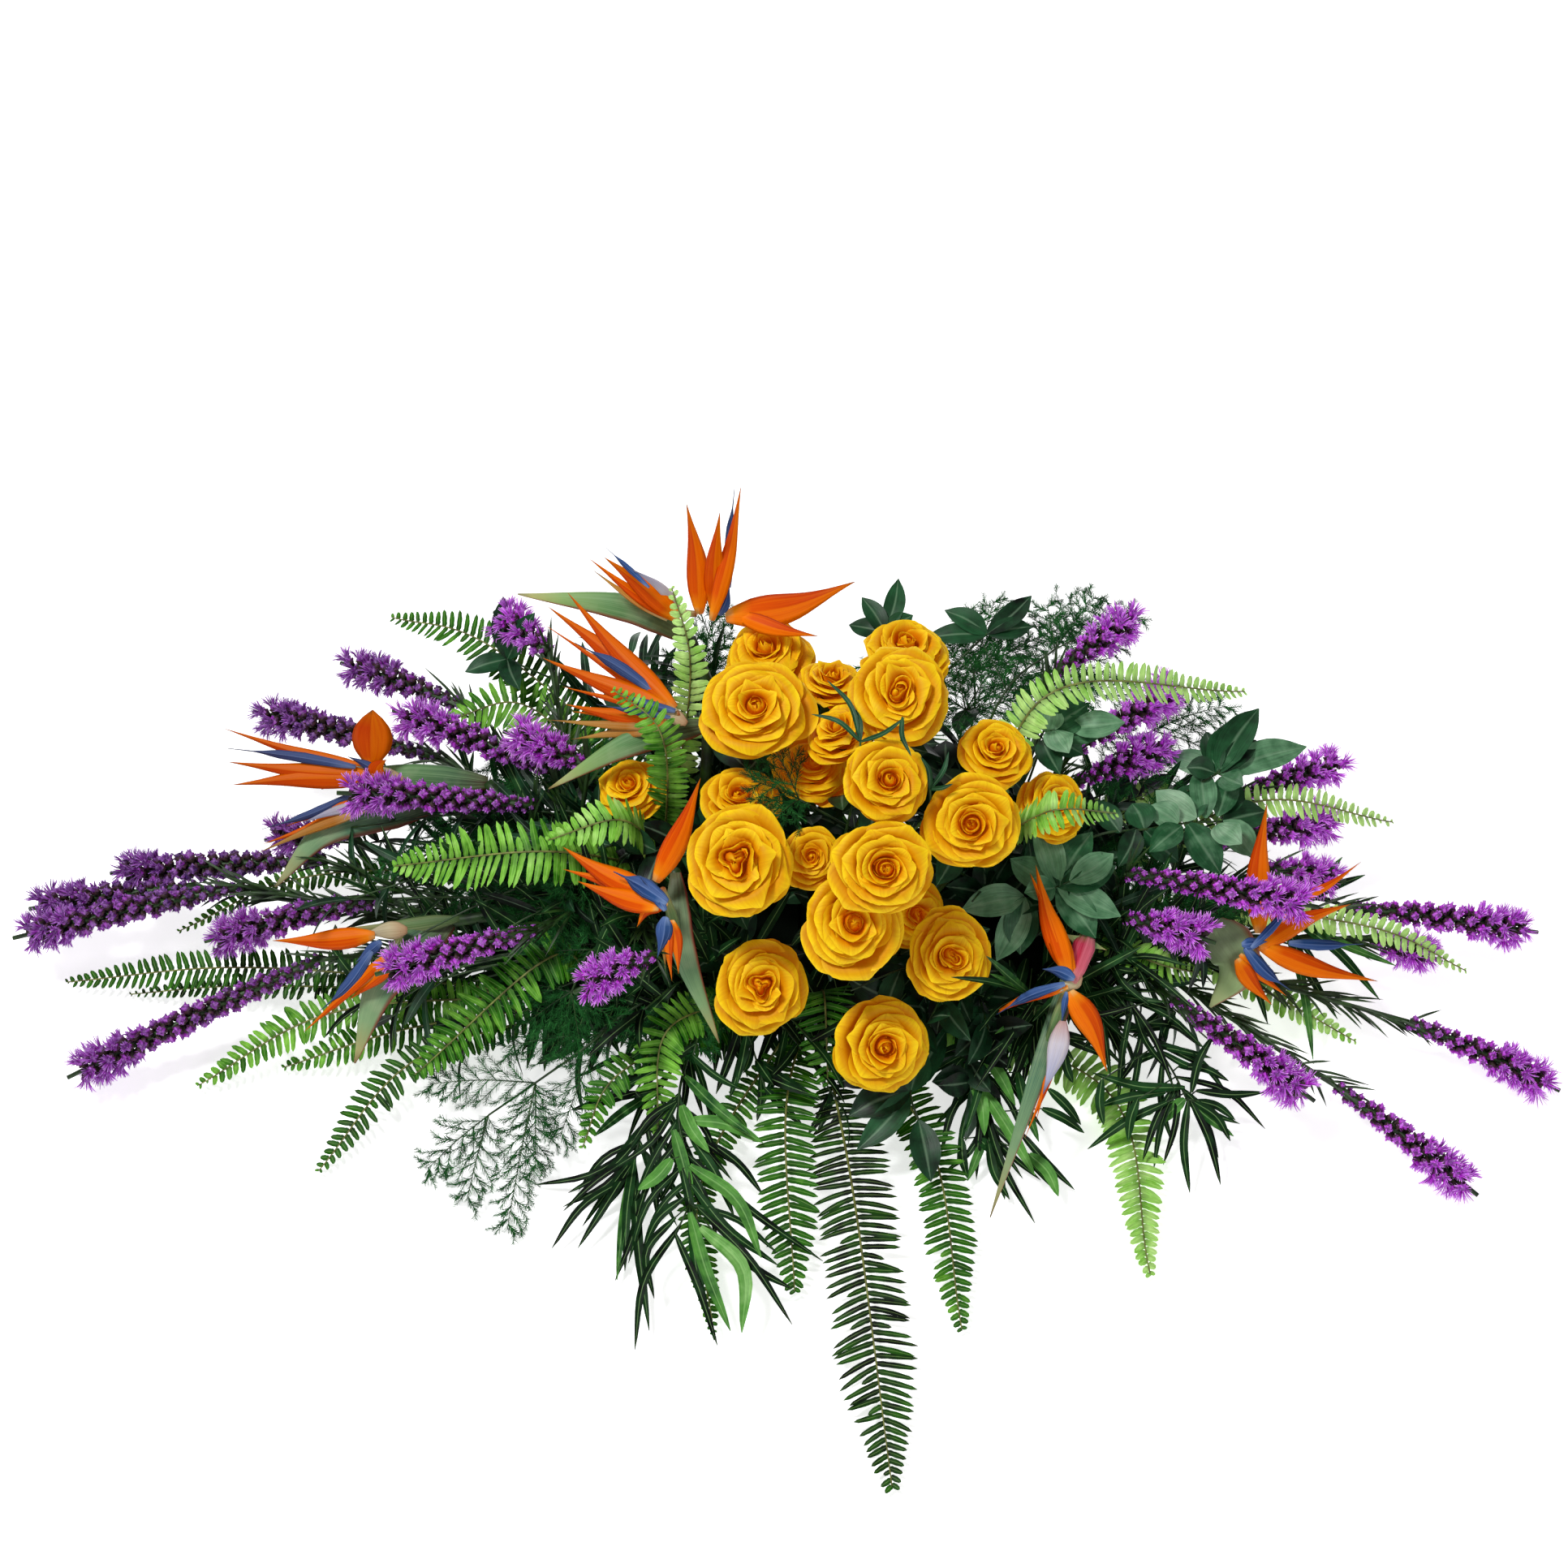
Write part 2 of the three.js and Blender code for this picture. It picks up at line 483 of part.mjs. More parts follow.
// Stem bundles: where a bunch of stems is pushed into the foam
function bundleEnds(name) {
  const { at, out } = ROOTS[name];
  const face = new THREE.Vector3(...at);
  const way = new THREE.Vector3(...out);
  return {
    inside: face.clone().addScaledVector(way, -BUNDLE.inside),
    outside: face.clone().addScaledVector(way, BUNDLE.outside),
    way,
  };
}

function bundle(name, grow = 0) {
  const { inside, outside } = bundleEnds(name);
  return stem([outside, inside], BUNDLE.radius, { grow, sides: 6, steps: 1, taper: 0.8 });
}

// Where the nth of some stems leaves its bundle: they stand in a ring, side by side
function bundleStart(name, nth, count) {
  const { outside, way } = bundleEnds(name);
  const { across, out } = lie(way, Math.abs(way.z) > 0.9 ? rightward : upward);
  const turn = (2 * Math.PI * nth) / count;
  const reach = count > 1 ? BUNDLE.radius - 2.6 : 0;
  return outside
    .clone()
    .addScaledVector(way, -3)
    .addScaledVector(across, reach * Math.cos(turn))
    .addScaledVector(out, reach * Math.sin(turn));
}

function bunch(elements, make) {
  const name = elements[0].node;
  return joined([bundle(name), ...elements.map((element, nth) => {
    return make(element, bundleStart(name, nth, elements.length));
  })]).simplify(SMOOTHING);
}

// A leaf with a keel under it. Where it is wide, its edges may be drawn on towards the tip.
function keeled(steps, halfWidths, depth, { face = SKYWARD, sweep = 0 } = {}) {
  const rings = steps.map(({ at, along }, i) => {
    const { across, out } = lie(along, face);
    const half = halfWidths[i];
    const edge = at.clone().addScaledVector(along, sweep * half);
    return [
      at.clone().addScaledVector(out, -Math.min(depth, 1.6 * half)),
      edge.clone().addScaledVector(across, half),
      edge.clone().addScaledVector(across, -half),
    ];
  });
  return skin(rings);
}

// Roses
function roseAxis({ faces: [right, up] }) {
  return eyeward.clone().addScaledVector(rightward, right).addScaledVector(upward, up).normalize();
}

// A bloom about its own middle, opening towards +Z
function roseBloom(rose) {
  const size = rose.width / 2;
  const lobed = (r, z, lobe, phase) => ({ r, z, lobe, phase });
  const profile = [
    lobed(0.3, -ROSE_FOOT, 0, 0),
    lobed(0.86, -0.28, 0.04, 0),
    lobed(1, 0.1, 0.07, 0),
    lobed(0.76, 0.02, 0, 0),
    lobed(0.7, 0.34, 0.08, 1),
    lobed(0.46, 0.14, 0, 0),
    lobed(0.3, 0.46, 0.12, 0),
  ];
  const rings = profile.map(({ r, z, lobe, phase }) =>
    Array.from({ length: 2 * PETAL_LOBES }, (_, j) => {
      const turn = (-Math.PI * j) / PETAL_LOBES;
      const reach = size * r * (1 + lobe * ((j + phase) % 2 ? -1 : 1));
      return new THREE.Vector3(reach * Math.cos(turn), reach * Math.sin(turn), size * z);
    }),
  );
  return skin(rings);
}

function roseStem(rose, start) {
  const axis = roseAxis(rose);
  const size = rose.width / 2;
  const under = place(rose.at).addScaledVector(axis, -size * ROSE_FOOT - CLEARANCE);
  const below = (distance) => under.clone().addScaledVector(axis, -distance);
  const arch = rose.arch ? [start.clone().add(new THREE.Vector3(0, -10, rose.arch))] : [];
  const points = [start, ...arch, below(60), below(24)];
  const along = line(points, points.length - 1, { through: true });
  const radii = [...points.map(() => STEM_RADIUS), 7, 9];
  const middles = [...along.map((step) => step.at), below(9), under];
  const rings = middles.map((at, i) => {
    const { across, out } = lie(i + 3 < radii.length ? along[i].along : axis, upward);
    return Array.from({ length: 3 }, (_, j) => {
      const turn = (2 * Math.PI * j) / 3;
      return at
        .clone()
        .addScaledVector(across, radii[i] * Math.cos(turn))
        .addScaledVector(out, radii[i] * Math.sin(turn));
    });
  });
  return skin(rings);
}

// Birds of paradise
function birdSpathe(bird, grow = 0) {
  const base = place(bird.base).addScaledVector(eyeward, -12);
  const beak = place(bird.beak);
  const neck = place(bird.neck).addScaledVector(eyeward, -12);
  const foot = new THREE.Vector3(...bird.foot, FOAM.top - BUNDLE.inside);
  const rise = new THREE.Vector3(...bird.foot, FOAM.top + BUNDLE.outside);
  const over = rise.clone().lerp(neck, 0.35).add(new THREE.Vector3(0, 0, 0.12 * rise.distanceTo(neck)));
  return joined([
    spindle([beak, base.clone().lerp(beak, 0.35), neck], [2, 15, 26, 24, 11], 0.7, { grow }),
    stem([rise, foot], 4.5, { grow, sides: 4, steps: 1, taper: 0.9 }),
    stem([rise.clone().lerp(foot, 0.1), over, neck], 4.4, { grow: 1.5 * grow, taper: 0.95 }),
  ]);
}

function birdFlower(bird) {
  const base = place(bird.base);
  const petals = bird.sepals.map((tip) => {
    const end = place(tip);
    const wide = end.distanceTo(base) > 80 ? 18 : 13;
    const from = base.clone().addScaledVector(end.clone().sub(base).normalize(), 4);
    return spindle([from, end], [3, wide, 1.4], 0.45);
  });
  const tongues = bird.tongues.map((tip) => {
    return spindle([base.clone().addScaledVector(eyeward, 3), place(tip)], [4, 9, 1.4], 0.7);
  });
  const lip = place(bird.base).lerp(place(bird.beak), 0.3).addScaledVector(eyeward, -11);
  const claw = spindle([base.clone().addScaledVector(upward, 7), base, lip], [6, 13, 11, 8], 0.8);
  return joined([claw, ...petals, ...tongues]).subtract(birdSpathe(bird, CLEARANCE)).simplify(SMOOTHING);
}

// Liatris
function liatrisSpike({ node, tip, foot }, start) {
  const top = place(tip);
  const bottom = place(foot);
  const rings = Math.max(4, 2 * Math.round(top.distanceTo(bottom) / SPIKE.pitch / 2));
  const head = knobbly([bottom, top], rings, SPIKE.sides, (t, stands) => {
    const open = 0.55 + 0.45 * Math.min(1, t * 1.4);
    const end = t > 0.97 ? 0.45 : 1;
    return (stands ? SPIKE.floret : SPIKE.core) * open * end;
  }, 3);
  const rise = start.clone().addScaledVector(bundleEnds(node).way, 26);
  return joined([head, stem([start, rise, bottom, bottom.clone().lerp(top, 0.06)], SPIKE.stem)]);
}

// Sword fern
function frond({ bend, tip, width }, start) {
  const points = [start, place(bend), place(tip)];
  const length = points[0].distanceTo(points[1]) + points[1].distanceTo(points[2]);
  const pairs = Math.max(5, Math.min(11, Math.round((0.72 * length) / FROND.pitch)));
  const bare = 0.28;
  const steps = 2 * Math.round(pairs / (1 - bare));
  const firstLeaflet = Math.round(bare * steps);
  const spine = line(points, steps);
  const halves = spine.map((_, i) => {
    const t = (i - firstLeaflet) / (steps - firstLeaflet);
    if (t < 0 || (i - firstLeaflet) % 2 === 0) return FROND.rib;
    return (width / 2) * Math.min(1, 0.5 + 3 * t, 2.6 * (1 - t) + 0.15);
  });
  halves[steps] = 0.7;
  const kept = spine.map((step, i) => ({ step, half: halves[i], i }))
    .filter(({ i }) => i >= firstLeaflet || i % 4 === 0);
  return keeled(kept.map((k) => k.step), kept.map((k) => k.half), FROND.keel, { sweep: 0.22 });
}

// Leafy stems. Leaves that leave the stem at one place start a little apart along it.
function leafyStem({ stem: way, leaves }, start, leaf) {
  const points = [start, ...way.map(place)];
  const curve = curveThrough(points);
  const stalk = stem(points, 2.2, { steps: 2 * way.length, taper: 0.8 });
  const grown = leaves.map(([from, tip], k) => {
    const earlier = leaves.slice(0, k).filter((other) => other[0] === from).length;
    const ahead = curve.getTangent((from + 1) / way.length);
    return leaf(points[from + 1].clone().addScaledVector(ahead, -1 - 4.4 * earlier), place(tip));
  });
  return joined([stalk, ...grown]);
}

function ruscusLeaf(from, tip) {
  const half = RUSCUS_LEAF_WIDTH / 2;
  const along = tip.clone().sub(from).normalize();
  const steps = [0, 0.5, 0.78, 1].map((t) => ({ at: from.clone().lerp(tip, t), along }));
  return keeled(steps, [0.8, half, 0.72 * half, 0.8], 1.4);
}

function narrowLeaf(from, tip) {
  const middle = from.clone().lerp(tip, 0.5).addScaledVector(SKYWARD, 0.06 * from.distanceTo(tip));
  return keeled(line([from, middle, tip], 2), [0.7, NARROW_LEAF_WIDTH / 2, 0.8], 1.5);
}

function plume(from, tip) {
  const steps = 2 * Math.max(2, Math.round(from.distanceTo(tip) / PLUME.pitch / 2));
  const halves = Array.from({ length: steps + 1 }, (_, i) => {
    return i % 2 ? PLUME.reach * (1 - 0.55 * (i / steps)) : PLUME.core;
  });
  return keeled(line([from, tip], steps), halves, 2.4, { sweep: 0.4 });
}

// The holder
function roundedBar(length, depth, corner) {
  const [x, y] = [length / 2 - corner, depth / 2 - corner];
  const shape = new THREE.Shape();
  shape.absarc(x, y, corner, 0, Math.PI / 2);
  shape.absarc(-x, y, corner, Math.PI / 2, Math.PI);
  shape.absarc(-x, -y, corner, Math.PI, 1.5 * Math.PI);
  shape.absarc(x, -y, corner, 1.5 * Math.PI, 2 * Math.PI);
  return shape;
}

function slab(length, depth, corner, bottom, top) {
  const geometry = new THREE.ExtrudeGeometry(roundedBar(length, depth, corner), {
    depth: top - bottom,
    bevelEnabled: false,
    curveSegments: 2,
  });
  geometry.translate(0, 0, bottom);
  return solidOf(geometry);
}

function tray() {
  const { length, depth, height, floor, wall, corner } = TRAY;
  const bowl = slab(length, depth, corner, 0, height - 2.5);
  const lip = slab(length + 8, depth + 8, corner + 4, height - 2.5, height);
  const hollow = slab(length - 2 * wall, depth - 2 * wall, corner - wall, floor, height + 1);
  return bowl.add(lip).subtract(hollow);
}

function foam() {
  const { length, depth, bottom, top } = FOAM;
  const brick = slab(length, depth, 5, bottom, top);
  const seam = slab(3, depth + 2, 0.5, top - 4, top + 1);
  const holes = [
    ...Object.keys(ROOTS).map((name) => bundle(name, CLEARANCE)),
    ...BIRDS.map((bird) => birdSpathe(bird, CLEARANCE)),
  ];
  return holes.reduce((block, hole) => block.subtract(hole), brick.subtract(seam));
}

// The scene: a group for each kind of piece, all standing on the table in the spray's own frame
const spray = new THREE.Group();

function groupOf(pieces) {
  const group = new THREE.Group();
  group.add(...pieces);
  spray.add(group);
}

function meshOf(name, solid, colour) {
  const mesh = whole(solid).getMesh();
  const geometry = new THREE.BufferGeometry();
  geometry.setAttribute("position", new THREE.BufferAttribute(new Float32Array(mesh.vertProperties), 3));
  geometry.setIndex(new THREE.BufferAttribute(new Uint32Array(mesh.triVerts), 1));
  geometry.computeVertexNormals();
  const [hex, roughness] = COLOURS[colour];
  const look = { color: hex, roughness, metalness: 0, flatShading: true };
  const made = new THREE.Mesh(geometry, new THREE.MeshStandardMaterial(look));
  made.name = name;
  return made;
}

function roseMesh(rose) {
  const bloom = meshOf(rose.name, roseBloom(rose), "petal");
  const axis = roseAxis(rose);
  const { across, out } = lie(axis, upward);
  bloom.position.copy(place(rose.at));
  bloom.setRotationFromMatrix(new THREE.Matrix4().makeBasis(out, across, axis));
  return bloom;
}

function bunchMeshes(elements, make, colour) {
  return [...new Set(elements.map((element) => element.node))].map((name) => {
    const grown = elements.filter((element) => element.node === name);
    return meshOf(name, bunch(grown, make), colour);
  });
}

const leafed = (leaf) => (way, start) => leafyStem(way, start, leaf);
groupOf(ROSES.map(roseMesh));
groupOf(bunchMeshes(ROSES, roseStem, "rose_stem"));
groupOf(BIRDS.flatMap((bird) => [
  meshOf(bird.name + "_spathe", birdSpathe(bird), "spathe"),
  meshOf(bird.name + "_flower", birdFlower(bird), "sepal"),
]));
groupOf(bunchMeshes(SPIKES, liatrisSpike, "liatris"));
groupOf(bunchMeshes(FRONDS, frond, "fern"));
groupOf(bunchMeshes(RUSCUS, leafed(ruscusLeaf), "ruscus"));
groupOf(bunchMeshes(PODOCARPUS, leafed(narrowLeaf), "podocarpus"));
groupOf(bunchMeshes(PLUMOSA, leafed(plume), "plumosa"));
groupOf([meshOf("foam_block", foam(), "foam"), meshOf("holder_tray", tray(), "tray")]);

export default spray;
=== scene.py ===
# The look of a casket spray: roses, birds of paradise, liatris and trailing greens on a foam tray.
# Metres, +Z up, +X along the spray, the tray's underside at the origin. A place is written as
# column, row, height: the photograph's pixel, and millimetres above the table.

import math

import bpy
import numpy as np
from mathutils import Matrix


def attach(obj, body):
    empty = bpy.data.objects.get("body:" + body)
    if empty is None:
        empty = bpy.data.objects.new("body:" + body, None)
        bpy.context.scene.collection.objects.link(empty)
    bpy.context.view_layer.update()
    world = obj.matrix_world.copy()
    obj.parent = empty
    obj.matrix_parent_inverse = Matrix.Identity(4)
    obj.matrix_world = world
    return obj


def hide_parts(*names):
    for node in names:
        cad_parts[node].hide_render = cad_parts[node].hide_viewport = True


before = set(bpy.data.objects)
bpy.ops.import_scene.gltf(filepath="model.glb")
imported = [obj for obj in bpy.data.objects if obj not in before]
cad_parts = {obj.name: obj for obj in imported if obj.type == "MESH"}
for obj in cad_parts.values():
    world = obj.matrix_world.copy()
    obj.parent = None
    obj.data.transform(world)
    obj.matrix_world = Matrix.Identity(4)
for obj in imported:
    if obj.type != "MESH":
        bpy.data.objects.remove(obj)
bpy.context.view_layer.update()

# How the photograph looks at the spray
LOOK_DOWN = math.radians(50)
EYE_DISTANCE = 3.4
PIXEL = 0.00075
PHOTO_SIZE = 1932
PHOTO_MIDDLE = (966, 966)
ORIGIN_PIXEL = (985, 1190)

RIGHT = np.array([1.0, 0.0, 0.0])
UP = np.array([0.0, math.sin(LOOK_DOWN), math.cos(LOOK_DOWN)])
EYEWARD = np.array([0.0, -math.cos(LOOK_DOWN), math.sin(LOOK_DOWN)])
EYE = (
    EYEWARD * EYE_DISTANCE
    - RIGHT * (ORIGIN_PIXEL[0] - PHOTO_MIDDLE[0]) * PIXEL
    + UP * (ORIGIN_PIXEL[1] - PHOTO_MIDDLE[1]) * PIXEL
)
SKYWARD = np.array([0.0, -0.35, 0.94]) / math.hypot(0.35, 0.94)
UPRIGHT = np.array([0.0, 0.0, 1.0])

# The holder and its stem bundles, in metres
FOAM = {"length": 0.46, "depth": 0.11, "top": 0.092}
BUNDLE = {"radius": 0.008, "outside": 0.012}

# The body of the spray, which filling stems close, and how many there are
FILL = {"centre": np.array([0.01, -0.01, 0.02]), "radii": np.array([0.335, 0.185, 0.215])}
BODY_STEMS = 84
SIDE_STEMS = 48
SKIRT_LEAVES = 440
HANGING_LEAVES = 20

# How far below a sepal or a beak a leaf may pass, in mm, and how near in pixels
BELOW_BIRD = 12
NEAR_BIRD = 15

# Below this row of the photograph the broad leaves are painted dark, as shade
LOW_ROW = 1300

# Turns between petals and heads, and between a calyx's five parts
GOLDEN_TURN = math.radians(137.5)
FIFTH_TURN = 1.257

# Sizes of the plants, in metres
LOWEST_TIP = 0.004
SPACING = {"head": 0.0026, "grassy": 0.0042, "branch": 0.0062, "leaflet": 0.0072}
STEM_RADIUS = {
    "rose": 0.0026, "bird": 0.0052, "liatris": 0.0024, "spike": 0.0042,
    "leafy": 0.0016, "thin": 0.0014, "stalk": 0.0008, "plume": 0.0007,
}
LEAF_WIDTH = {
    "rose": 0.025, "sprig": 0.0046, "grassy": 0.0026, "ruscus": 0.03, "ruscus_back": 0.021,
    "podocarpus": 0.0085, "filling_narrow": 0.0085, "filling_broad": 0.023, "skirt": 0.011, "hanging": 0.0062,
}


# Tables are text: rows end at a comma or a line's end
def rows(text):
    """The words and numbers of each row."""
    split = [row.split() for row in text.replace("\n", ",").split(",") if row.strip()]
    return [[word if word[0].isalpha() or word[0] == "#" else float(word) for word in row] for row in split]


def blocks(text):
    """A head and its rows for each line that isn't indented."""
    made = []
    for line in text.strip("\n").split("\n"):
        if line[0] == " ":
            made[-1][1].extend(rows(line))
        else:
            made.append((rows(line)[0], []))
    return made


# Where a bundle of stems stands in the foam, in mm, and the way out of it
ROOTS = {name: (np.array(v[:3]) / 1000, np.array(v[3:])) for name, *v in rows("""
rose_stems_left -78 -10 92  0 0 1
rose_stems_centre 28 4 92  0 0 1
rose_stems_right 118 -10 92  0 0 1
liatris_left_back -196 30 92  0 0 1
liatris_left_front -230 -12 66  -1 0 0
liatris_front -150 -8 92  0 0 1
liatris_right_back 184 34 92  0 0 1
liatris_right_front 230 -12 66  1 0 0
fern_left_low -180 -55 34  0 -1 0
fern_left_high -120 30 92  0 0 1
fern_front 10 -55 34  0 -1 0
fern_right_high 150 30 92  0 0 1
fern_right_low 230 28 60  1 0 0
fern_back -40 55 36  0 1 0
ruscus_back -62 36 92  0 0 1
ruscus_right 168 -6 92  0 0 1
ruscus_front 150 -55 64  0 -1 0
podocarpus_left -70 -55 62  0 -1 0
podocarpus_right 206 -55 34  0 -1 0
plumosa_left -130 -55 66  0 -1 0
plumosa_right 120 55 62  0 1 0
""")}

# Roses: the stems they stand on, the bloom's middle, its width in mm, the way it faces (right, up),
# the arch of its stem in mm, how open it is, and how many hearts it has
ROSES = rows("""
rose_stems_centre 946 806 300  80  -0.1 0.65  0 0.8 1
rose_stems_left 932 872 335  92  -0.05 0.25  0 1 1
rose_stems_centre 1024 841 308  58  0.25 1.1  0 0.55 1
rose_stems_centre 1117 800 290  80  0.1 0.85  0 0.9 1
rose_stems_centre 1109 855 352  85  0.05 0.3  0 1 2
rose_stems_centre 1035 902 317  62  -0.4 0.9  0 0.6 1
rose_stems_centre 1002 945 262  70  0.1 0.6  0 0.8 1
rose_stems_centre 1093 963 335  75  0.15 0.2  0 0.75 1
rose_stems_right 1227 926 285  66  0.15 0.45  0 0.8 1
rose_stems_right 1198 1015 300  84  0.05 -0.05  0 0.9 1
rose_stems_right 1299 993 235  64  0.45 0.3  40 0.8 1
rose_stems_left 776 970 222  62  -0.2 0.5  0 0.7 1
rose_stems_left 912 984 255  70  0 0.6  0 0.8 1
rose_stems_left 910 1060 290  94  -0.05 0.12  0 1 3
rose_stems_centre 1000 1055 255  55  0 0.15  0 0.7 1
rose_stems_centre 1089 1069 311  84  0.05 0  0 1 1
rose_stems_centre 1051 1140 250  86  0.08 0.08  0 1 1
rose_stems_right 1126 1128 166  64  0.5 -0.1  0 0.8 2
rose_stems_right 1171 1181 195  76  0.05 0  0 0.95 2
rose_stems_left 938 1216 165  82  0.05 0.05  0 0.95 3
rose_stems_right 1087 1290 125  84  0.15 -0.15  34 0.9 1
""")

# Birds of paradise: the base of the sepals, the beak's point and neck, the stem's foot on the foam in
# mm, the beak's width in pixels, how grey it is (below zero, how much painted light pales the beak), and the
# shade of the blades. Each blade: its kind, root, tip, width in pixels, and bow
BIRDS = blocks("""
bird_top 858 762 330  638 732 325  850 785 300  -30 34  34 0.2 0.5
  orange 862 756 332 846 621 440 27 4, orange 880 754 330 887 631 450 24 -3
  orange 877 764 336 913 600 462 20 3, orange 894 760 332 1053 717 345 40 9
  orange 906 757 330 1008 784 345 22 4, orange 838 766 332 727 689 385 16 -3
  orange 836 762 336 745 687 400 27 2, beige 822 764 330 730 702 380 10 -2
  lilac 840 752 334 776 700 402 12 5, blue 886 758 336 899 722 360 13 2
  blue 898 724 362 905 602 455 12 -2, blue 800 724 385 746 674 412 7 0
bird_upper_left 837 884 300  676 972 232  872 893 280  -88 20  32 0.2 0.7
  orange 832 872 302 700 731 345 26 -4, orange 812 862 296 676 748 325 26 4
  orange 806 866 296 670 769 322 9 2, orange 820 870 302 669 811 312 24 -2
  orange 812 876 300 693 846 296 9 0, orange 820 888 298 697 868 282 21 -3
  orange 818 892 298 706 877 276 16 2, beige 812 896 294 675 887 268 11 -1
  beige 812 900 292 704 911 255 13 2, blue 806 852 306 708 792 335 15 3
  blue 832 876 306 760 852 308 12 -3, blue 826 884 306 735 868 300 9 0
  cream 846 892 298 800 862 304 18 0
bird_left 455 950 185  396 972 150  600 965 168  -214 8  36 0.2 0.85
  orange 462 950 186 277 898 195 17 -4, orange 458 955 184 282 939 178 24 -3
  orange 456 960 182 287 967 165 26 4, orange 458 946 190 459 875 238 50 0
  orange 462 958 188 476 936 205 22 -4, blue 438 945 190 280 922 186 13 2
  blue 470 955 190 428 932 200 12 2, cream 500 962 182 436 944 188 13 3
bird_left_low 440 985 150  339 1093 100  540 985 140  -196 -31  48 0.9 0.8
  orange 446 990 152 324 1040 132 14 -3, beige 452 998 150 316 1052 128 12 3
  orange 446 984 154 352 1018 142 10 0, blue 440 976 156 322 1022 146 11 -4
  lilac 448 990 154 372 1014 146 12 2
bird_left_front 495 1150 140  437 1310 55  552 1136 134  -172 -30  50 0.8 0.65
  orange 462 1152 144 336 1159 140 26 -3, cream 502 1146 142 446 1152 142 22 2
  orange 478 1176 140 374 1272 92 14 0, beige 484 1182 138 404 1252 98 10 4
  orange 486 1188 138 430 1232 104 16 0, blue 458 1172 142 394 1246 104 16 -5
  blue 470 1160 146 438 1186 134 14 0, green 566 1132 138 419 1144 132 20 -4
bird_centre 816 1100 240  886 1285 110  832 1076 232  -124 -14  30 0.7 0.5
  orange 808 1086 244 863 959 330 28 4, orange 806 1104 242 694 1044 242 30 -5
  orange 812 1118 240 712 1086 232 26 -3, orange 790 1098 238 694 1071 226 16 0
  orange 822 1112 246 785 1142 215 18 8, orange 828 1134 236 836 1200 186 16 -2
  orange 824 1134 238 828 1209 180 12 2, beige 820 1134 238 820 1194 184 9 2
  blue 822 1112 248 756 1074 254 22 2, blue 820 1122 244 788 1080 256 13 2
  blue 820 1130 244 810 1180 200 20 -2
bird_front_right 1318 1212 155  1220 1500 25  1332 1165 152  184 -38  24 0.9 0.5
  orange 1318 1204 160 1269 1076 216 24 4, orange 1322 1204 158 1276 1066 222 28 -5
  orange 1316 1216 162 1217 1253 130 14 5, orange 1318 1222 158 1364 1320 92 31 -6
  orange 1312 1272 122 1263 1402 76 9 -2, orange 1310 1268 122 1277 1380 84 10 2
  blue 1324 1206 166 1284 1194 168 16 3, blue 1312 1212 166 1228 1250 138 13 4
  blue 1314 1222 160 1308 1262 132 8 0, lilac 1310 1258 134 1285 1348 96 25 -3
  cream 1332 1202 158 1306 1222 160 20 0, pink 1320 1210 160 1340 1154 164 27 0
  green 1346 1168 160 1310 1150 168 15 0, green 1338 1160 160 1364 1171 156 8 0
bird_right 1545 1165 120  1491 1241 72  1498 1138 118  205 -34  60 -1 0.5
  orange 1552 1150 124 1561 990 200 31 -5, orange 1572 1140 124 1576 1096 150 26 4
  orange 1590 1112 134 1677 1062 132 11 5, orange 1552 1166 124 1664 1114 115 25 -6
  orange 1552 1166 122 1697 1209 82 27 6, orange 1528 1176 120 1585 1227 76 14 2
  orange 1524 1182 118 1567 1238 74 22 3, blue 1588 1162 122 1680 1163 104 14 2
  blue 1534 1168 126 1590 1220 84 17 4, blue 1542 1168 130 1596 1108 142 11 2
  blue 1530 1164 128 1562 1160 130 15 0
""")

# Liatris spikes: the tip, the foot of the flowering part, and how blue they are
SPIKES = blocks("""
liatris_left_back
  609 754 240 676 803 240 0.35, 420 817 150 571 870 172 0.8, 312 877 122 540 933 150 0.9
  484 875 190 679 950 192 0.45, 620 901 225 725 945 212 0.3
liatris_left_front
  415 977 183 661 993 176 0.45, 326 1035 84 430 1031 92 0.85, 136 1076 75 400 1060 104 0.9
  36 1120 55 240 1092 84 0.85, 16 1156 62 300 1092 95 0.75, 252 1160 80 469 1107 110 0.65
  83 1328 35 393 1183 80 0.65
liatris_front
  462 1201 150 661 1147 168 0.3, 707 1223 190 805 1178 190 0.15
liatris_right_back
  1404 756 230 1299 830 232 0.2, 1455 845 200 1321 926 215 0.2, 1446 917 170 1328 964 190 0.1
  1661 939 110 1527 979 132 0.1, 1652 1010 90 1504 1037 115 0.2
liatris_right_front
  1625 1118 170 1388 1077 180 0.1, 1658 1086 85 1560 1071 95 0.2, 1498 1162 150 1386 1131 160 0.1
  1895 1149 45 1660 1118 70 0.2, 1777 1185 40 1690 1158 52 0.2, 1922 1344 30 1736 1259 50 0.2
  1620 1357 70 1446 1232 110 0.2, 1821 1473 25 1647 1339 45 0.2
""")
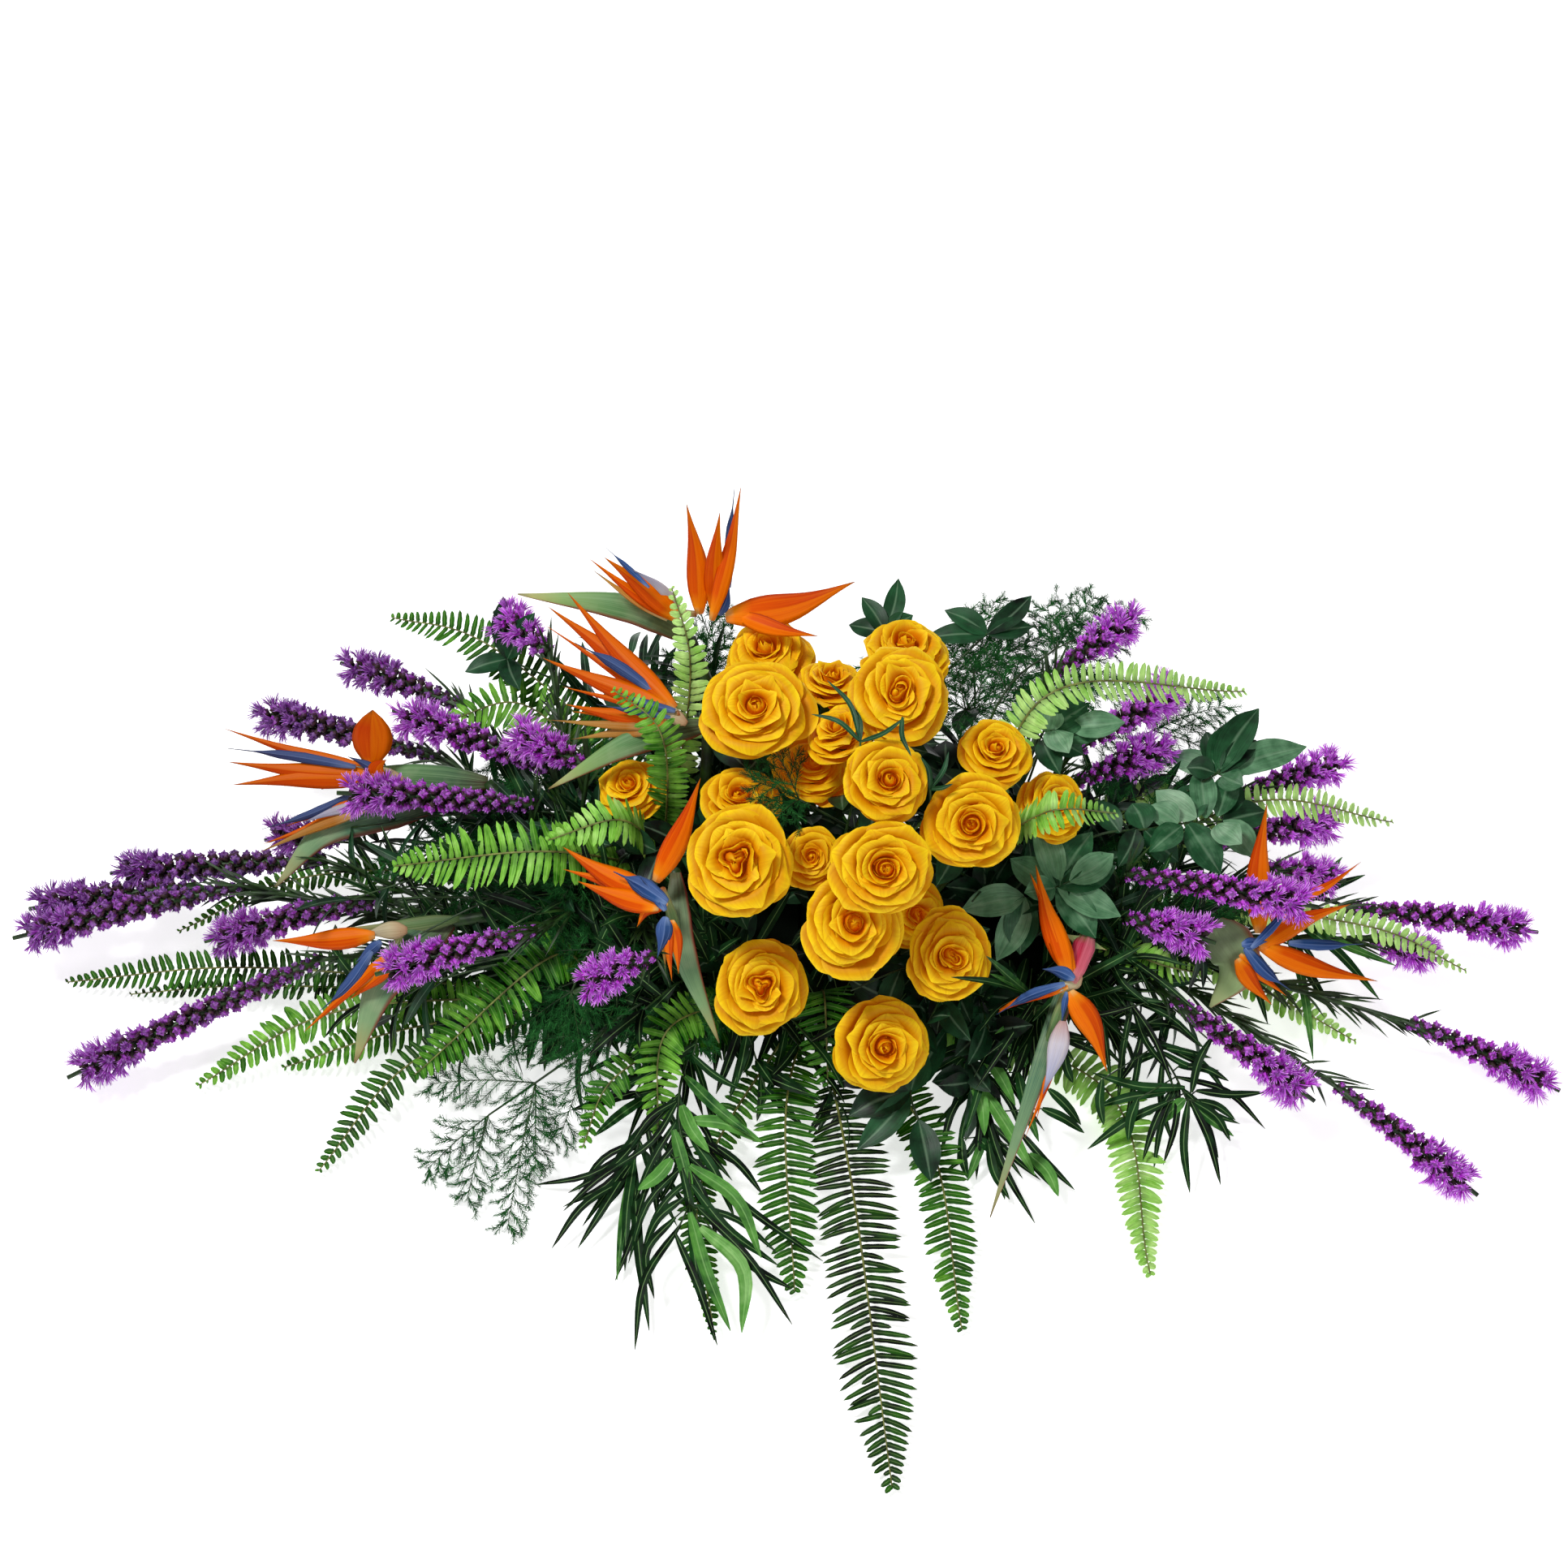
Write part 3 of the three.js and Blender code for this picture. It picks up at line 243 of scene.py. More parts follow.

# Sword fern fronds: where the rib bends over, the tip, the width in mm, and how light the green is:
# partly the frond's own green, partly painted light and shade, paler where a frond catches the light
FRONDS = blocks("""
fern_right_high
  1440 975 150 1384 1012 150 36 1.3, 1290 857 290 1533 852 225 40 1.25, 1300 998 302 1375 1002 272 40 1
fern_back
  594 790 215 484 761 200 50 0.45, 830 960 60 800 880 12 50 0.4, 895 955 62 880 862 12 50 0.3
  975 955 60 965 855 12 50 0.5, 1045 960 62 1060 857 12 50 0.3, 1110 965 60 1150 866 12 50 0.45
  1160 975 58 1240 888 12 46 0.3, 380 1080 60 221 1147 30 30 0.5
fern_left_high
  645 868 197 551 888 177 58 0.7, 670 1049 221 487 1067 175 62 0.9, 760 1010 262 676 1035 240 46 0.95
  810 895 327 756 850 324 38 0.75, 850 810 322 828 725 372 34 1.25
fern_left_low
  300 1192 45 83 1210 12 40 0.35, 290 1215 30 161 1225 9 26 0.2, 402 1250 50 245 1337 12 42 0.7
  500 1268 44 350 1315 10 38 0.6, 509 1308 36 393 1442 9 38 0.35, 690 1175 130 511 1324 60 56 0.6
fern_front
  755 1330 72 718 1413 40 38 0.6, 822 1270 110 810 1395 42 46 0.75, 863 1462 16 879 1641 8 34 0.5
  969 1360 60 979 1590 12 56 0.45, 1016 1230 120 1020 1335 62 54 0.55, 1048 1450 34 1099 1831 8 72 0.12
  1140 1395 30 1185 1637 8 48 0.45, 1360 1340 24 1417 1569 8 50 1.1
fern_right_low
  1545 988 140 1716 1013 88 34 1.35, 1700 1145 78 1806 1196 44 30 1.35
  1571 1228 42 1670 1283 20 30 1.15, 1420 1185 130 1480 1200 96 34 0.95
""")

# Leafy stems: the node and the way the stem goes. A row of four is a leaf: the point of the stem that
# it leaves from, and its tip. A longer row is a further leaf: the pixels of its root and tip, how light
# it is (partly its own green, partly painted light and shade), and its bow
RUSCUS = blocks("""
ruscus_back 720 860 185  625 812 215
  1 620 735 258, 1 659 755 262, 1 573 828 212, 1 640 850 235
ruscus_back 1080 815 244  1091 779 268
  1 1107 713 285, 1 1062 736 280, 1 1125 758 275, 1 1046 770 262, 1 1147 779 262
ruscus_back 1216 781 252
  0 1164 752 262, 0 1271 734 258, 0 1272 772 248, 0 1140 786 250
ruscus_back 815 915 62  775 885 58
  0 850 880 52, 1 800 840 50, 1 745 850 52, 1 715 885 48
ruscus_right 1290 900 250
  0 1340 868 262, 0 1362 905 248, 0 1335 930 238
  1278 905 1254 862 0.7, 1290 903 1298 868 1.1, 1300 900 1317 928 1.1, 1318 896 1386 890 0.9
  1284 912 1306 954 0.4, 1310 890 1330 850 0.3
ruscus_right 1500 953 176
  0 1551 873 188, 0 1610 920 160, 0 1520 895 182, 0 1440 930 165
  1500 950 1486 902 0.3, 1504 948 1512 890 0.5, 1510 950 1548 912 0.2, 1506 956 1532 968 0.7
  1496 952 1462 946 0.3
ruscus_right 1350 1030 184  1410 1022 176  1463 1014 166  1506 1012 156
  1 1452 1062 150, 1 1395 990 178, 2 1504 1077 138, 2 1470 965 162, 3 1545 1056 138, 3 1560 1000 140
  1474 1008 1424 974 1.2, 1486 1008 1480 946 0.8, 1500 1006 1514 952 0.7, 1506 1004 1528 966 0.3
  1452 1014 1418 992 1, 1456 1018 1416 1050 0.6, 1400 1022 1378 1068 0.2, 1380 1026 1352 986 0.4
  1500 1016 1530 1040 1.1
ruscus_front 1300 1130 165  1303 1092 190
  1 1277 1009 213, 1 1245 1058 195, 1 1346 1025 205, 1 1375 1067 195, 1 1381 1129 175, 1 1350 1156 165
  1306 1092 1312 1022 0.4, 1318 1086 1372 1052 1, 1300 1094 1262 1100 0.8
ruscus_front 1262 1105 172
  0 1185 1121 165, 0 1228 1184 135, 0 1257 1176 140
ruscus_front 1122 1345 66  1132 1380 58
  0 1137 1290 88, 0 1166 1270 78, 0 1056 1417 46, 1 1147 1456 38, 0 1046 1375 58
""")
PODOCARPUS = blocks("""
podocarpus_left 838 1340 66  838 1392 60  848 1432 54  850 1484 48
  0 874 1420 62, 0 940 1408 58, 0 924 1398 70, 1 786 1466 44, 2 938 1550 40, 3 914 1642 30
  3 880 1652 24, 3 976 1632 26, 3 806 1600 24, 2 1014 1554 28
  840 1362 874 1420 0.95, 848 1380 940 1408 0.9, 844 1326 924 1398 0.7, 830 1392 854 1488 0.8
  828 1428 786 1466 0.95, 850 1436 938 1550 0.9 -0.12, 863 1512 914 1642 1.1 -0.2
  850 1494 900 1640 0.8 0.03, 860 1488 976 1632 0.1 -0.04, 842 1476 792 1540 0.2, 832 1520 884 1658 0.1
  844 1420 1014 1554 0.1, 900 1540 976 1588 0.1, 876 1408 940 1472 0.1, 832 1500 806 1600 0.15 0.22
  838 1510 782 1664 0.1 0.1, 850 1400 905 1500 0.3, 840 1440 860 1560 0.2, 852 1460 960 1560 0.3
podocarpus_left 800 1370 36  781 1430 26
  1 712 1538 12, 1 680 1538 10, 1 760 1578 10, 0 732 1400 40, 1 800 1640 8
  780 1432 712 1538 0.15, 772 1452 680 1538 0.1, 780 1436 758 1578 0.1, 782 1428 770 1566 0.3
  796 1352 732 1400 0.5, 790 1400 700 1470 0.1, 800 1380 745 1450 0.2, 795 1420 810 1500 0.2
podocarpus_right 1290 1240 95  1272 1227 118
  1 1172 1204 240, 1 1220 1200 200, 1 1215 1178 232, 0 1226 1274 110
podocarpus_right 1384 1176 130
  0 1444 1050 165, 0 1399 1023 172
podocarpus_right 1215 1290 60  1212 1350 40  1214 1400 25
  0 1251 1362 52, 0 1174 1272 75, 0 1190 1395 42, 0 1336 1396 22, 1 1275 1448 28, 1 1324 1466 10
  2 1275 1507 8, 2 1192 1455 10, 2 1238 1478 9
  1203 1288 1251 1362 0.95, 1197 1324 1213 1399 0.95, 1212 1344 1275 1448 0.95, 1174 1272 1215 1283 0.9
  1241 1288 1267 1316 0.7, 1254 1321 1280 1407 0.6, 1205 1403 1233 1427 0.5, 1212 1363 1275 1507 0.1
  1185 1403 1192 1452 0.3, 1218 1409 1244 1478 0.3, 1256 1394 1324 1466 0.1, 1268 1422 1304 1474 0.9
  1284 1366 1336 1396 0.4, 1292 1342 1332 1386 0.4, 1282 1244 1226 1274 0.4, 1312 1298 1322 1334 0.3
  1190 1300 1165 1390 0.2, 1200 1330 1160 1420 0.1
podocarpus_right 1388 1230 95  1420 1282 75  1444 1318 60  1462 1354 48
  3 1350 1364 40, 3 1340 1416 20, 3 1408 1430 22, 3 1466 1470 8, 3 1504 1460 10, 3 1520 1400 24
  3 1558 1346 38, 2 1346 1322 58, 2 1514 1332 52, 2 1496 1274 78, 1 1360 1386 34, 0 1448 1246 88
  1460 1340 1346 1322 0.35, 1436 1346 1350 1364 0.35, 1438 1358 1340 1416 0.3, 1444 1342 1408 1430 0.1
  1464 1356 1466 1470 0.2, 1466 1354 1504 1460 0.1, 1472 1358 1516 1406 0.2, 1474 1356 1522 1380 0.2
  1474 1344 1558 1346 0.2, 1468 1346 1496 1274 0.2, 1452 1314 1514 1332 0.2, 1428 1298 1388 1318 0.2
  1460 1354 1430 1384 0.8, 1448 1246 1430 1300 0.2, 1402 1354 1390 1406 0.4, 1358 1330 1360 1386 0.3
  1400 1240 1340 1290 0.1, 1410 1260 1480 1290 0.1
podocarpus_right 1500 1130 76  1580 1124 70
  1 1654 1056 96, 1 1682 1078 80, 1 1700 1232 44, 1 1648 1256 40, 1 1618 1306 14, 0 1562 1262 30
  1 1720 1190 50
""")
PLUMOSA = blocks("""
plumosa_left 740 1275 86  660 1334 60  602 1374 38
  0 690 1400 35, 0 620 1290 70, 1 530 1335 48, 1 660 1440 20, 1 625 1515 12, 2 527 1440 12
  2 575 1480 12
plumosa_left 730 1060 190
  0 690 1110 170, 0 620 1050 160
plumosa_left 730 1170 136  704 1222 112
  1 636 1212 100, 1 648 1262 84, 1 716 1296 76, 1 764 1262 92, 0 786 1196 120, 0 650 1178 124
  1 690 1300 70
plumosa_left 712 1110 150
  0 616 1134 136, 0 632 1088 150, 0 684 1166 134, 0 752 1150 150, 0 560 1110 128
plumosa_left 838 1236 108
  0 786 1296 84, 0 862 1296 84, 0 902 1246 100
plumosa_right 1240 850 232  1300 800 225
  1 1400 760 205, 1 1350 735 215, 0 1190 760 240, 1 1290 745 230, 0 1330 860 190
plumosa_right 1420 900 170
  0 1510 870 150, 0 1500 930 140, 0 1440 850 175
plumosa_right 1400 1010 144  1450 1100 112
  1 1530 1105 108, 1 1520 1150 98, 1 1440 1150 105
plumosa_right 1120 890 100
  0 1180 830 90, 0 1060 820 90, 0 1120 810 100
plumosa_right 1200 880 190  1200 830 230
  1 1185 775 235, 1 1250 790 225, 1 1225 740 235, 0 1290 850 190, 1 1330 765 215, 1 1160 800 235
plumosa_right 1340 1060 150
  0 1410 1100 126, 0 1470 1122 112, 0 1390 1160 118, 0 1430 1060 136
plumosa_right 1030 1010 230  985 985 262
  1 928 962 288, 1 958 1006 272, 1 954 922 300
plumosa_left 640 1040 140
  0 520 1006 122, 0 470 1066 108, 0 560 1084 124, 0 590 986 136, 0 600 1070 132
plumosa_left 700 960 165
  0 600 935 150, 0 636 975 152, 0 690 900 168, 0 760 920 180
plumosa_right 1400 960 170
  0 1380 900 190, 0 1440 985 160, 0 1350 960 185, 0 1430 930 172
plumosa_right 1190 875 212
  0 1172 800 240, 0 1232 812 232, 0 1262 862 215, 0 1150 850 225, 0 1216 905 200, 0 1282 822 222
  0 1176 900 230
plumosa_right 1300 850 205
  0 1372 790 205, 0 1340 830 200, 0 1400 850 185, 0 1262 800 225, 0 1330 884 190
plumosa_left 858 850 225
  0 884 742 290, 0 872 792 262, 0 904 776 280, 0 838 800 250, 0 818 846 225
""")

# Sprigs of narrow leaves between the roses: where they start, and each leaf's tip
SPRIGS = blocks("""
rose_stems_centre 1060 914 345
  1115 884 374, 1019 838 358, 1048 868 352, 1000 880 352
rose_stems_centre 1112 884 375
  1123 932 374
rose_stems_centre 1146 972 322
  1169 926 345, 1174 966 335, 1134 932 350
""")

# Where the photograph shows fronds or broad leaves, no filling leaf lies over them: left, top, right,
# bottom, and the height in mm above which it is kept clear
CLEAR = rows("930 1100 1062 1330 50, 790 1190 862 1400 50, 500 1130 720 1330 50, 1166 1076 1290 1196 96")

# Stems of dark leaves that close gaps, their darkness painted shade inside the spray: the bunch, the end of
# the stem, and whether the leaves are narrow
BEHIND = rows("""
ruscus_back 778 806 222 1, ruscus_back 726 866 190 1, ruscus_back 842 828 232 0
podocarpus_left 548 948 140 1, podocarpus_left 536 1026 112 1, ruscus_right 1424 972 146 0
ruscus_back 1000 1004 200 0, ruscus_back 1010 880 240 0, ruscus_right 1262 1000 240 0
podocarpus_left 640 1020 150 1, podocarpus_left 612 966 140 1, podocarpus_left 466 1036 104 1
ruscus_right 1180 905 215 0, ruscus_back 880 830 240 1, ruscus_right 1158 932 222 0
""")
# The lines that leaves stay clear of: each sepal, and each beak from its base to its point and neck
BIRD_LINES = np.array([
    line for (_, *head), blades in BIRDS
    for line in (*(blade[1:7] for blade in blades), head[:6], head[:3] + head[6:9])
]).reshape(-1, 2, 3)


# Geometry
def photo_of(points):
    """The photograph's columns and rows of some places."""
    ray = points - EYE
    pixel = -ray @ EYEWARD / EYE_DISTANCE * PIXEL
    return np.stack([PHOTO_MIDDLE[0] + ray @ RIGHT / pixel, PHOTO_MIDDLE[1] - ray @ UP / pixel], 1)


def place(column, row, height):
    ray = (
        -EYE_DISTANCE * EYEWARD
        + (column - PHOTO_MIDDLE[0]) * PIXEL * RIGHT
        - (row - PHOTO_MIDDLE[1]) * PIXEL * UP
    )
    return EYE + ray * (height / 1000 - EYE[2]) / ray[2]


def places(numbers):
    """The places that a row's first numbers give, three to a place."""
    return [place(*numbers[i:i + 3]) for i in range(0, len(numbers) - 2, 3)]


def unit(v):
    return v / np.maximum(np.linalg.norm(v, axis=-1, keepdims=True), 1e-9)


def mix(a, b, t):
    return a + (b - a) * t


def smooth(t, low, high):
    t = np.clip((t - low) / (high - low), 0, 1)
    return t * t * (3 - 2 * t)


def sample(t, at, values):
    """Rows of values, known at some shares of a line, at other shares of it."""
    return np.stack([np.interp(t, at, column) for column in values.T], 1)


def curve(points, count):
    """count + 1 places at equal distances on a centripetal curve through some points."""
    p = [np.asarray(q, float) for q in points]
    if len(p) == 2:
        return p[0] + (p[1] - p[0]) * np.linspace(0, 1, count + 1)[:, None]
    p = [2 * p[0] - p[1], *p, 2 * p[-1] - p[-2]]
    fine = [p[1][None]]
    t = np.linspace(0, 1, 33)[1:, None]
    for a, b, c, d in zip(p, p[1:], p[2:], p[3:]):
        ab, bc, cd = (max(math.sqrt(np.linalg.norm(v - u)), 1e-5) for u, v in ((a, b), (b, c), (c, d)))
        m1 = ((b - a) / ab - (c - a) / (ab + bc) + (c - b) / bc) * bc
        m2 = ((c - b) / bc - (d - b) / (bc + cd) + (d - c) / cd) * bc
        fine.append(b + m1 * t + (-3 * b + 3 * c - 2 * m1 - m2) * t**2 + (2 * b - 2 * c + m1 + m2) * t**3)
    fine = np.concatenate(fine)
    run = np.concatenate([[0], np.cumsum(np.linalg.norm(np.diff(fine, axis=0), axis=1))])
    return sample(np.linspace(0, run[-1], count + 1), run, fine)


def bowed(root, tip, rise):
    """Three points of a line that rises by a share of its length in its middle."""
    return [root, mix(root, tip, 0.5) + UPRIGHT * rise * np.linalg.norm(tip - root), tip]


def frames(points, face):
    """The way along a line of points, and the sideways and outward ways of what lies on it."""
    along = unit(np.gradient(points, axis=0))
    across = unit(np.cross(along, face))
    return along, across, np.cross(across, along)


def turns(count):
    return np.arange(count) * 2 * math.pi / count


def around(turn, across, out):
    """The ways at some turns from one way to another."""
    return np.cos(turn)[..., None] * across + np.sin(turn)[..., None] * out


def loft(line, across, out, wide, deep):
    """Rows of points about a line: how far each lies across it and out of it."""
    return line[:, None] + wide[..., None] * across[:, None] + deep[..., None] * out[:, None]


class Piece:
    """Gathers surfaces into one mesh. Every point is marked with how far along and across its
    petal or leaf it lies, and with a tint."""

    def __init__(self, name):
        self.name = name
        self.points = []
        self.marks = []
        self.faces = []
        self.finishes = []
        self.total = 0

    def add(self, points, along, across, tint, faces, finish):
        points = points.reshape(-1, *points.shape[-3:])
        marks = np.empty(points.shape)
        marks[..., 0] = np.reshape(along, (-1, 1))
        marks[..., 1] = across
        marks[..., 2] = np.reshape(tint, (-1, 1, 1))
        size = points[0].size // 3
        start = self.total + np.arange(len(points))[:, None, None] * size
        for group in faces:
            made = (group[None] + start).reshape(-1, group.shape[1])
            self.faces.append(made)
            self.finishes.append(np.full(len(made), finish))
        self.points.append(points.reshape(-1, 3))
        self.marks.append(marks.reshape(-1, 3))
        self.total += len(points) * size

    def sheets(self, points, along, across, tint=0.5, finish=0):
        """points has one n by m grid, or one for each of k sheets: (k, n, m, 3)."""
        n, m = points.shape[-3:-1]
        i = (np.arange(n - 1)[:, None] * m + np.arange(m - 1)).ravel()
        self.add(points, along, across, tint, [np.stack([i, i + 1, i + 1 + m, i + m], 1)], finish)

    def tubes(self, points, along, across, tint=0.5, finish=0):
        """As sheets, with each ring of m points closed, and the ends capped."""
        n, m = points.shape[-3:-1]
        i = np.arange(n - 1)[:, None] * m
        j = np.arange(m)
        quads = np.stack([i + j, i + (j + 1) % m, i + m + (j + 1) % m, i + m + j], -1).reshape(-1, 4)
        self.add(points, along, across, tint, [quads, np.stack([j[::-1], (n - 1) * m + j])], finish)

    def build(self, materials, slot, nodes):
        mesh = bpy.data.meshes.new(self.name)
        points = np.concatenate(self.points)
        loops = np.concatenate([f.ravel() for f in self.faces])
        sizes = np.concatenate([np.full(len(f), f.shape[1]) for f in self.faces])
        mesh.vertices.add(len(points))
        mesh.loops.add(len(loops))
        mesh.polygons.add(len(sizes))
        for holder, key, values, kind in (
            (mesh.vertices, "co", points, np.float32),
            (mesh.loops, "vertex_index", loops, np.int32),
            (mesh.polygons, "loop_start", np.cumsum(sizes) - sizes, np.int32),
            (mesh.polygons, "material_index", np.concatenate(self.finishes), np.int32),
            (mesh.polygons, "use_smooth", sizes > 0, bool),
        ):
            holder.foreach_set(key, values.astype(kind).ravel())
        marks = mesh.attributes.new("marks", "FLOAT_VECTOR", "POINT")
        marks.data.foreach_set("vector", np.concatenate(self.marks).astype(np.float32).ravel())
        for material in materials:
            mesh.materials.append(material)
        mesh.update(calc_edges=True)
        obj = bpy.data.objects.new(self.name, mesh)
        bpy.context.scene.collection.objects.link(obj)
        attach(obj, "root")
        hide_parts(*nodes)


def tube(piece, points, radius, sides=6, steps=12, taper=0.7, tint=0.5, finish=0):
    """A round stem through some points."""
    line = curve(points, steps)
    steep = abs(unit(line[1] - line[0])[2]) >= 0.85
    _, across, out = frames(line, RIGHT if steep else UPRIGHT)
    t = np.linspace(0, 1, steps + 1)
    r = radius * mix(1, taper, t)[:, None]
    turn = turns(sides)
    piece.tubes(loft(line, across, out, r * np.cos(turn), r * np.sin(turn)), t, np.cos(turn), tint, finish)


# Materials
def linear(code):
    parts = [int(code[i:i + 2], 16) / 255 for i in (1, 3, 5)]
    return (*(p / 12.92 if p <= 0.04045 else ((p + 0.055) / 1.055) ** 2.4 for p in parts), 1.0)


class Look:
    """A material. Its colour starts as a ramp, and further colours are laid over it."""

    def __init__(self, name, **settings):
        self.material = bpy.data.materials.new(name)
        self.material.use_nodes = True
        self.tree = self.material.node_tree
        self.shader = self.tree.nodes["Principled BSDF"]
        for key, value in settings.items():
            self.shader.inputs[key.replace("_", " ")].default_value = value
        marks = self.node("Attribute", attribute_name="marks")
        parts = self.node("SeparateXYZ", Vector=marks.outputs["Vector"])
        self.along, self.across, self.tint = parts.outputs[:3]
        self.where = self.node("TexCoord").outputs["Object"]

    def node(self, kind, **given):
        made = self.tree.nodes.new("ShaderNode" + kind)
        for key, value in given.items():
            name = key.replace("_", " ")
            if name in made.inputs:
                self.plug(made.inputs[name], value)
            else:
                setattr(made, key, value)
        return made

    def plug(self, socket, value):
        if isinstance(value, bpy.types.NodeSocket):
            self.tree.links.new(value, socket)
        else:
            socket.default_value = value

    def math(self, operation, *values):
        made = self.node("Math", operation=operation)
        for socket, value in zip(made.inputs, values):
            self.plug(socket, value)
        return made.outputs[0]

    def aside(self):
        """How far a place lies from the middle of its petal or leaf, to either side."""
        return self.math("ABSOLUTE", self.across)

    def span(self, value, low, high, to_low=0, to_high=1):
        made = self.node("MapRange", From_Min=low, From_Max=high, To_Min=to_low, To_Max=to_high)
        self.plug(made.inputs["Value"], value)
        return made.outputs[0]

    def noise(self, scale, detail=2, vector=None, rough=0.5):
        made = self.node("TexNoise", Scale=scale, Detail=detail, Roughness=rough)
        self.plug(made.inputs["Vector"], vector or self.where)
        return made.outputs["Fac"]

    def streaks(self, across_scale, along_scale, detail=2):
        """Noise drawn out along the petal or leaf."""
        vector = self.node("CombineXYZ")
        for socket, value, scale in zip(
            vector.inputs, (self.across, self.along, self.tint), (across_scale, along_scale, 37)
        ):
            self.plug(socket, self.math("MULTIPLY", value, scale))
        return self.noise(1, detail, vector.outputs[0])

    def ramp(self, value, stops):
        """Colours at places from 0 to 1."""
        made = self.node("ValToRGB", Fac=value)
        band = made.color_ramp
        stops = rows(stops)
        for _ in stops[2:]:
            band.elements.new(0.5)
        for element, (at, code) in zip(band.elements, stops):
            element.position = at
            element.color = linear(code)
        return made.outputs["Color"]

    def blend(self, value, colour, kind="MIX"):
        made = self.node("MixRGB", blend_type=kind)
        colour = linear(colour) if isinstance(colour, str) else colour
        for socket, given in zip(made.inputs, (value, self.colour, colour)):
            self.plug(socket, given)
        self.colour = made.outputs[0]

    def over(self, colour, value, low, high, most=1, least=0, kind="MIX"):
        """Lays a colour over the others: from least to most of it as a value goes from low to high."""
        self.blend(self.span(value, low, high, least, most), colour, kind)

    def done(self, bump=None, strength=0.3, distance=0.0004, rough=None, painted_glow=0):
        self.plug(self.shader.inputs["Base Color"], self.colour)
        # Emission in the part's own colour: painted glow, as if light passed through it
        if painted_glow:
            self.plug(self.shader.inputs["Emission Color"], self.colour)
            self.shader.inputs["Emission Strength"].default_value = painted_glow
        if rough:
            self.plug(self.shader.inputs["Roughness"], rough)
        if bump:
            made = self.node("Bump", Strength=strength, Distance=distance, Height=bump)
            self.plug(self.shader.inputs["Normal"], made.outputs[0])
        return self.material


def petal_material():
    # The petals glow orange a little: painted glow standing in for light that passes through them
    look = Look("rose_petal", Roughness=0.55, Specular_IOR_Level=0.14, Emission_Strength=0.1)
    look.shader.inputs["Emission Color"].default_value = linear("#e06000")
    # Both ramps darken towards the petal's base, and the inner petals' ramp is deeper: partly the rose's own
    # deeper orange, partly painted shade in the crevices and the heart
    look.colour = look.ramp(look.along, "0 #7a2000, 0.5 #ac4000, 0.8 #d06800, 0.92 #de9200, 1 #ecb600")
    outside = look.ramp(look.along, "0 #8a3800, 0.4 #b06400, 0.72 #d08e00, 0.88 #e0ac00, 1 #f0cc00")
    look.over(outside, look.tint, 0.05, 0.55)
    look.over("#d08c00", look.noise(38), 0.45, 0.7, 0.4)
    # Lemon along each petal's tip and sides: partly the petals' paler rims, partly a painted highlight on the
    # rolled edges
    edge = look.math("MAXIMUM", look.span(look.along, 0.86, 0.98), look.span(look.aside(), 0.84, 1))
    look.blend(look.math("MULTIPLY", edge, look.span(look.noise(60), 0.3, 0.6, 0.25, 0.85)), "#ffe01c")
    veins = look.streaks(16, 1.2, 3)
    look.over("#c06c00", veins, 0.4, 0.75, 0.35)
    return look.done(veins, 0.2, 0.0006)


def stem_material(name, dark, light):
    look = Look(name, Roughness=0.5)
    look.colour = look.ramp(look.noise(90, 3), f"0.3 {dark}, 0.7 {light}")
    return look.done(look.streaks(6, 30))


def blade_material(name, stops, keel=None, fold=None, shade="#402818"):
    """A bird of paradise's sepal or tongue: the colour runs along it, with fine long streaks."""
    look = Look(name, Roughness=0.42, Specular_IOR_Level=0.08)
    look.colour = look.ramp(look.along, stops)
    if fold:
        look.over(fold, look.across, -0.12, 0.12, 0.6)
    streaks = look.streaks(9, 1.5, 3)
    look.over("#000000", streaks, 0.35, 0.7, 0.45, kind="SOFT_LIGHT")
    look.over(keel or fold or "#c8b890", look.streaks(14, 1), 0.5, 0.75, 0.4)
    if keel:
        look.over(keel, look.aside(), 0, 0.12, 0, 0.5)
    look.over(shade, look.tint, 0.5, 1, 0.5)
    # The sepals and tongues glow a little: painted glow
    return look.done(streaks, 0.35, 0.0006, painted_glow=0.16)


def spathe_material():
    look = Look("bird_spathe", Roughness=0.45, Specular_IOR_Level=0.2)
    look.colour = look.ramp(
        look.along, "0 #8a5a30, 0.08 #b8b068, 0.25 #8cac58, 0.5 #5a8848, 0.8 #34583a, 1 #4a2c24")
    grey = look.ramp(look.along, "0 #7a4a28, 0.08 #a89a68, 0.25 #789a74, 0.5 #4c7460, 0.8 #2c4c3c, 1 #4a2c24")
    look.blend(look.tint, grey)
    streaks = look.streaks(14, 1, 4)
    look.over("#8cb07c", streaks, 0.35, 0.7, 0.5)
    look.over("#a4b48c", look.noise(26, 3), 0.5, 0.75, 0.6)
    # Below zero the tint lays pale green over the beak: painted light on a beak that stands in shade
    look.over("#b4cc94", look.tint, -0.2, -1, 0.55)
    look.over("#98302c", look.across, 0.7, 1)
    return look.done(streaks, distance=0.0008)


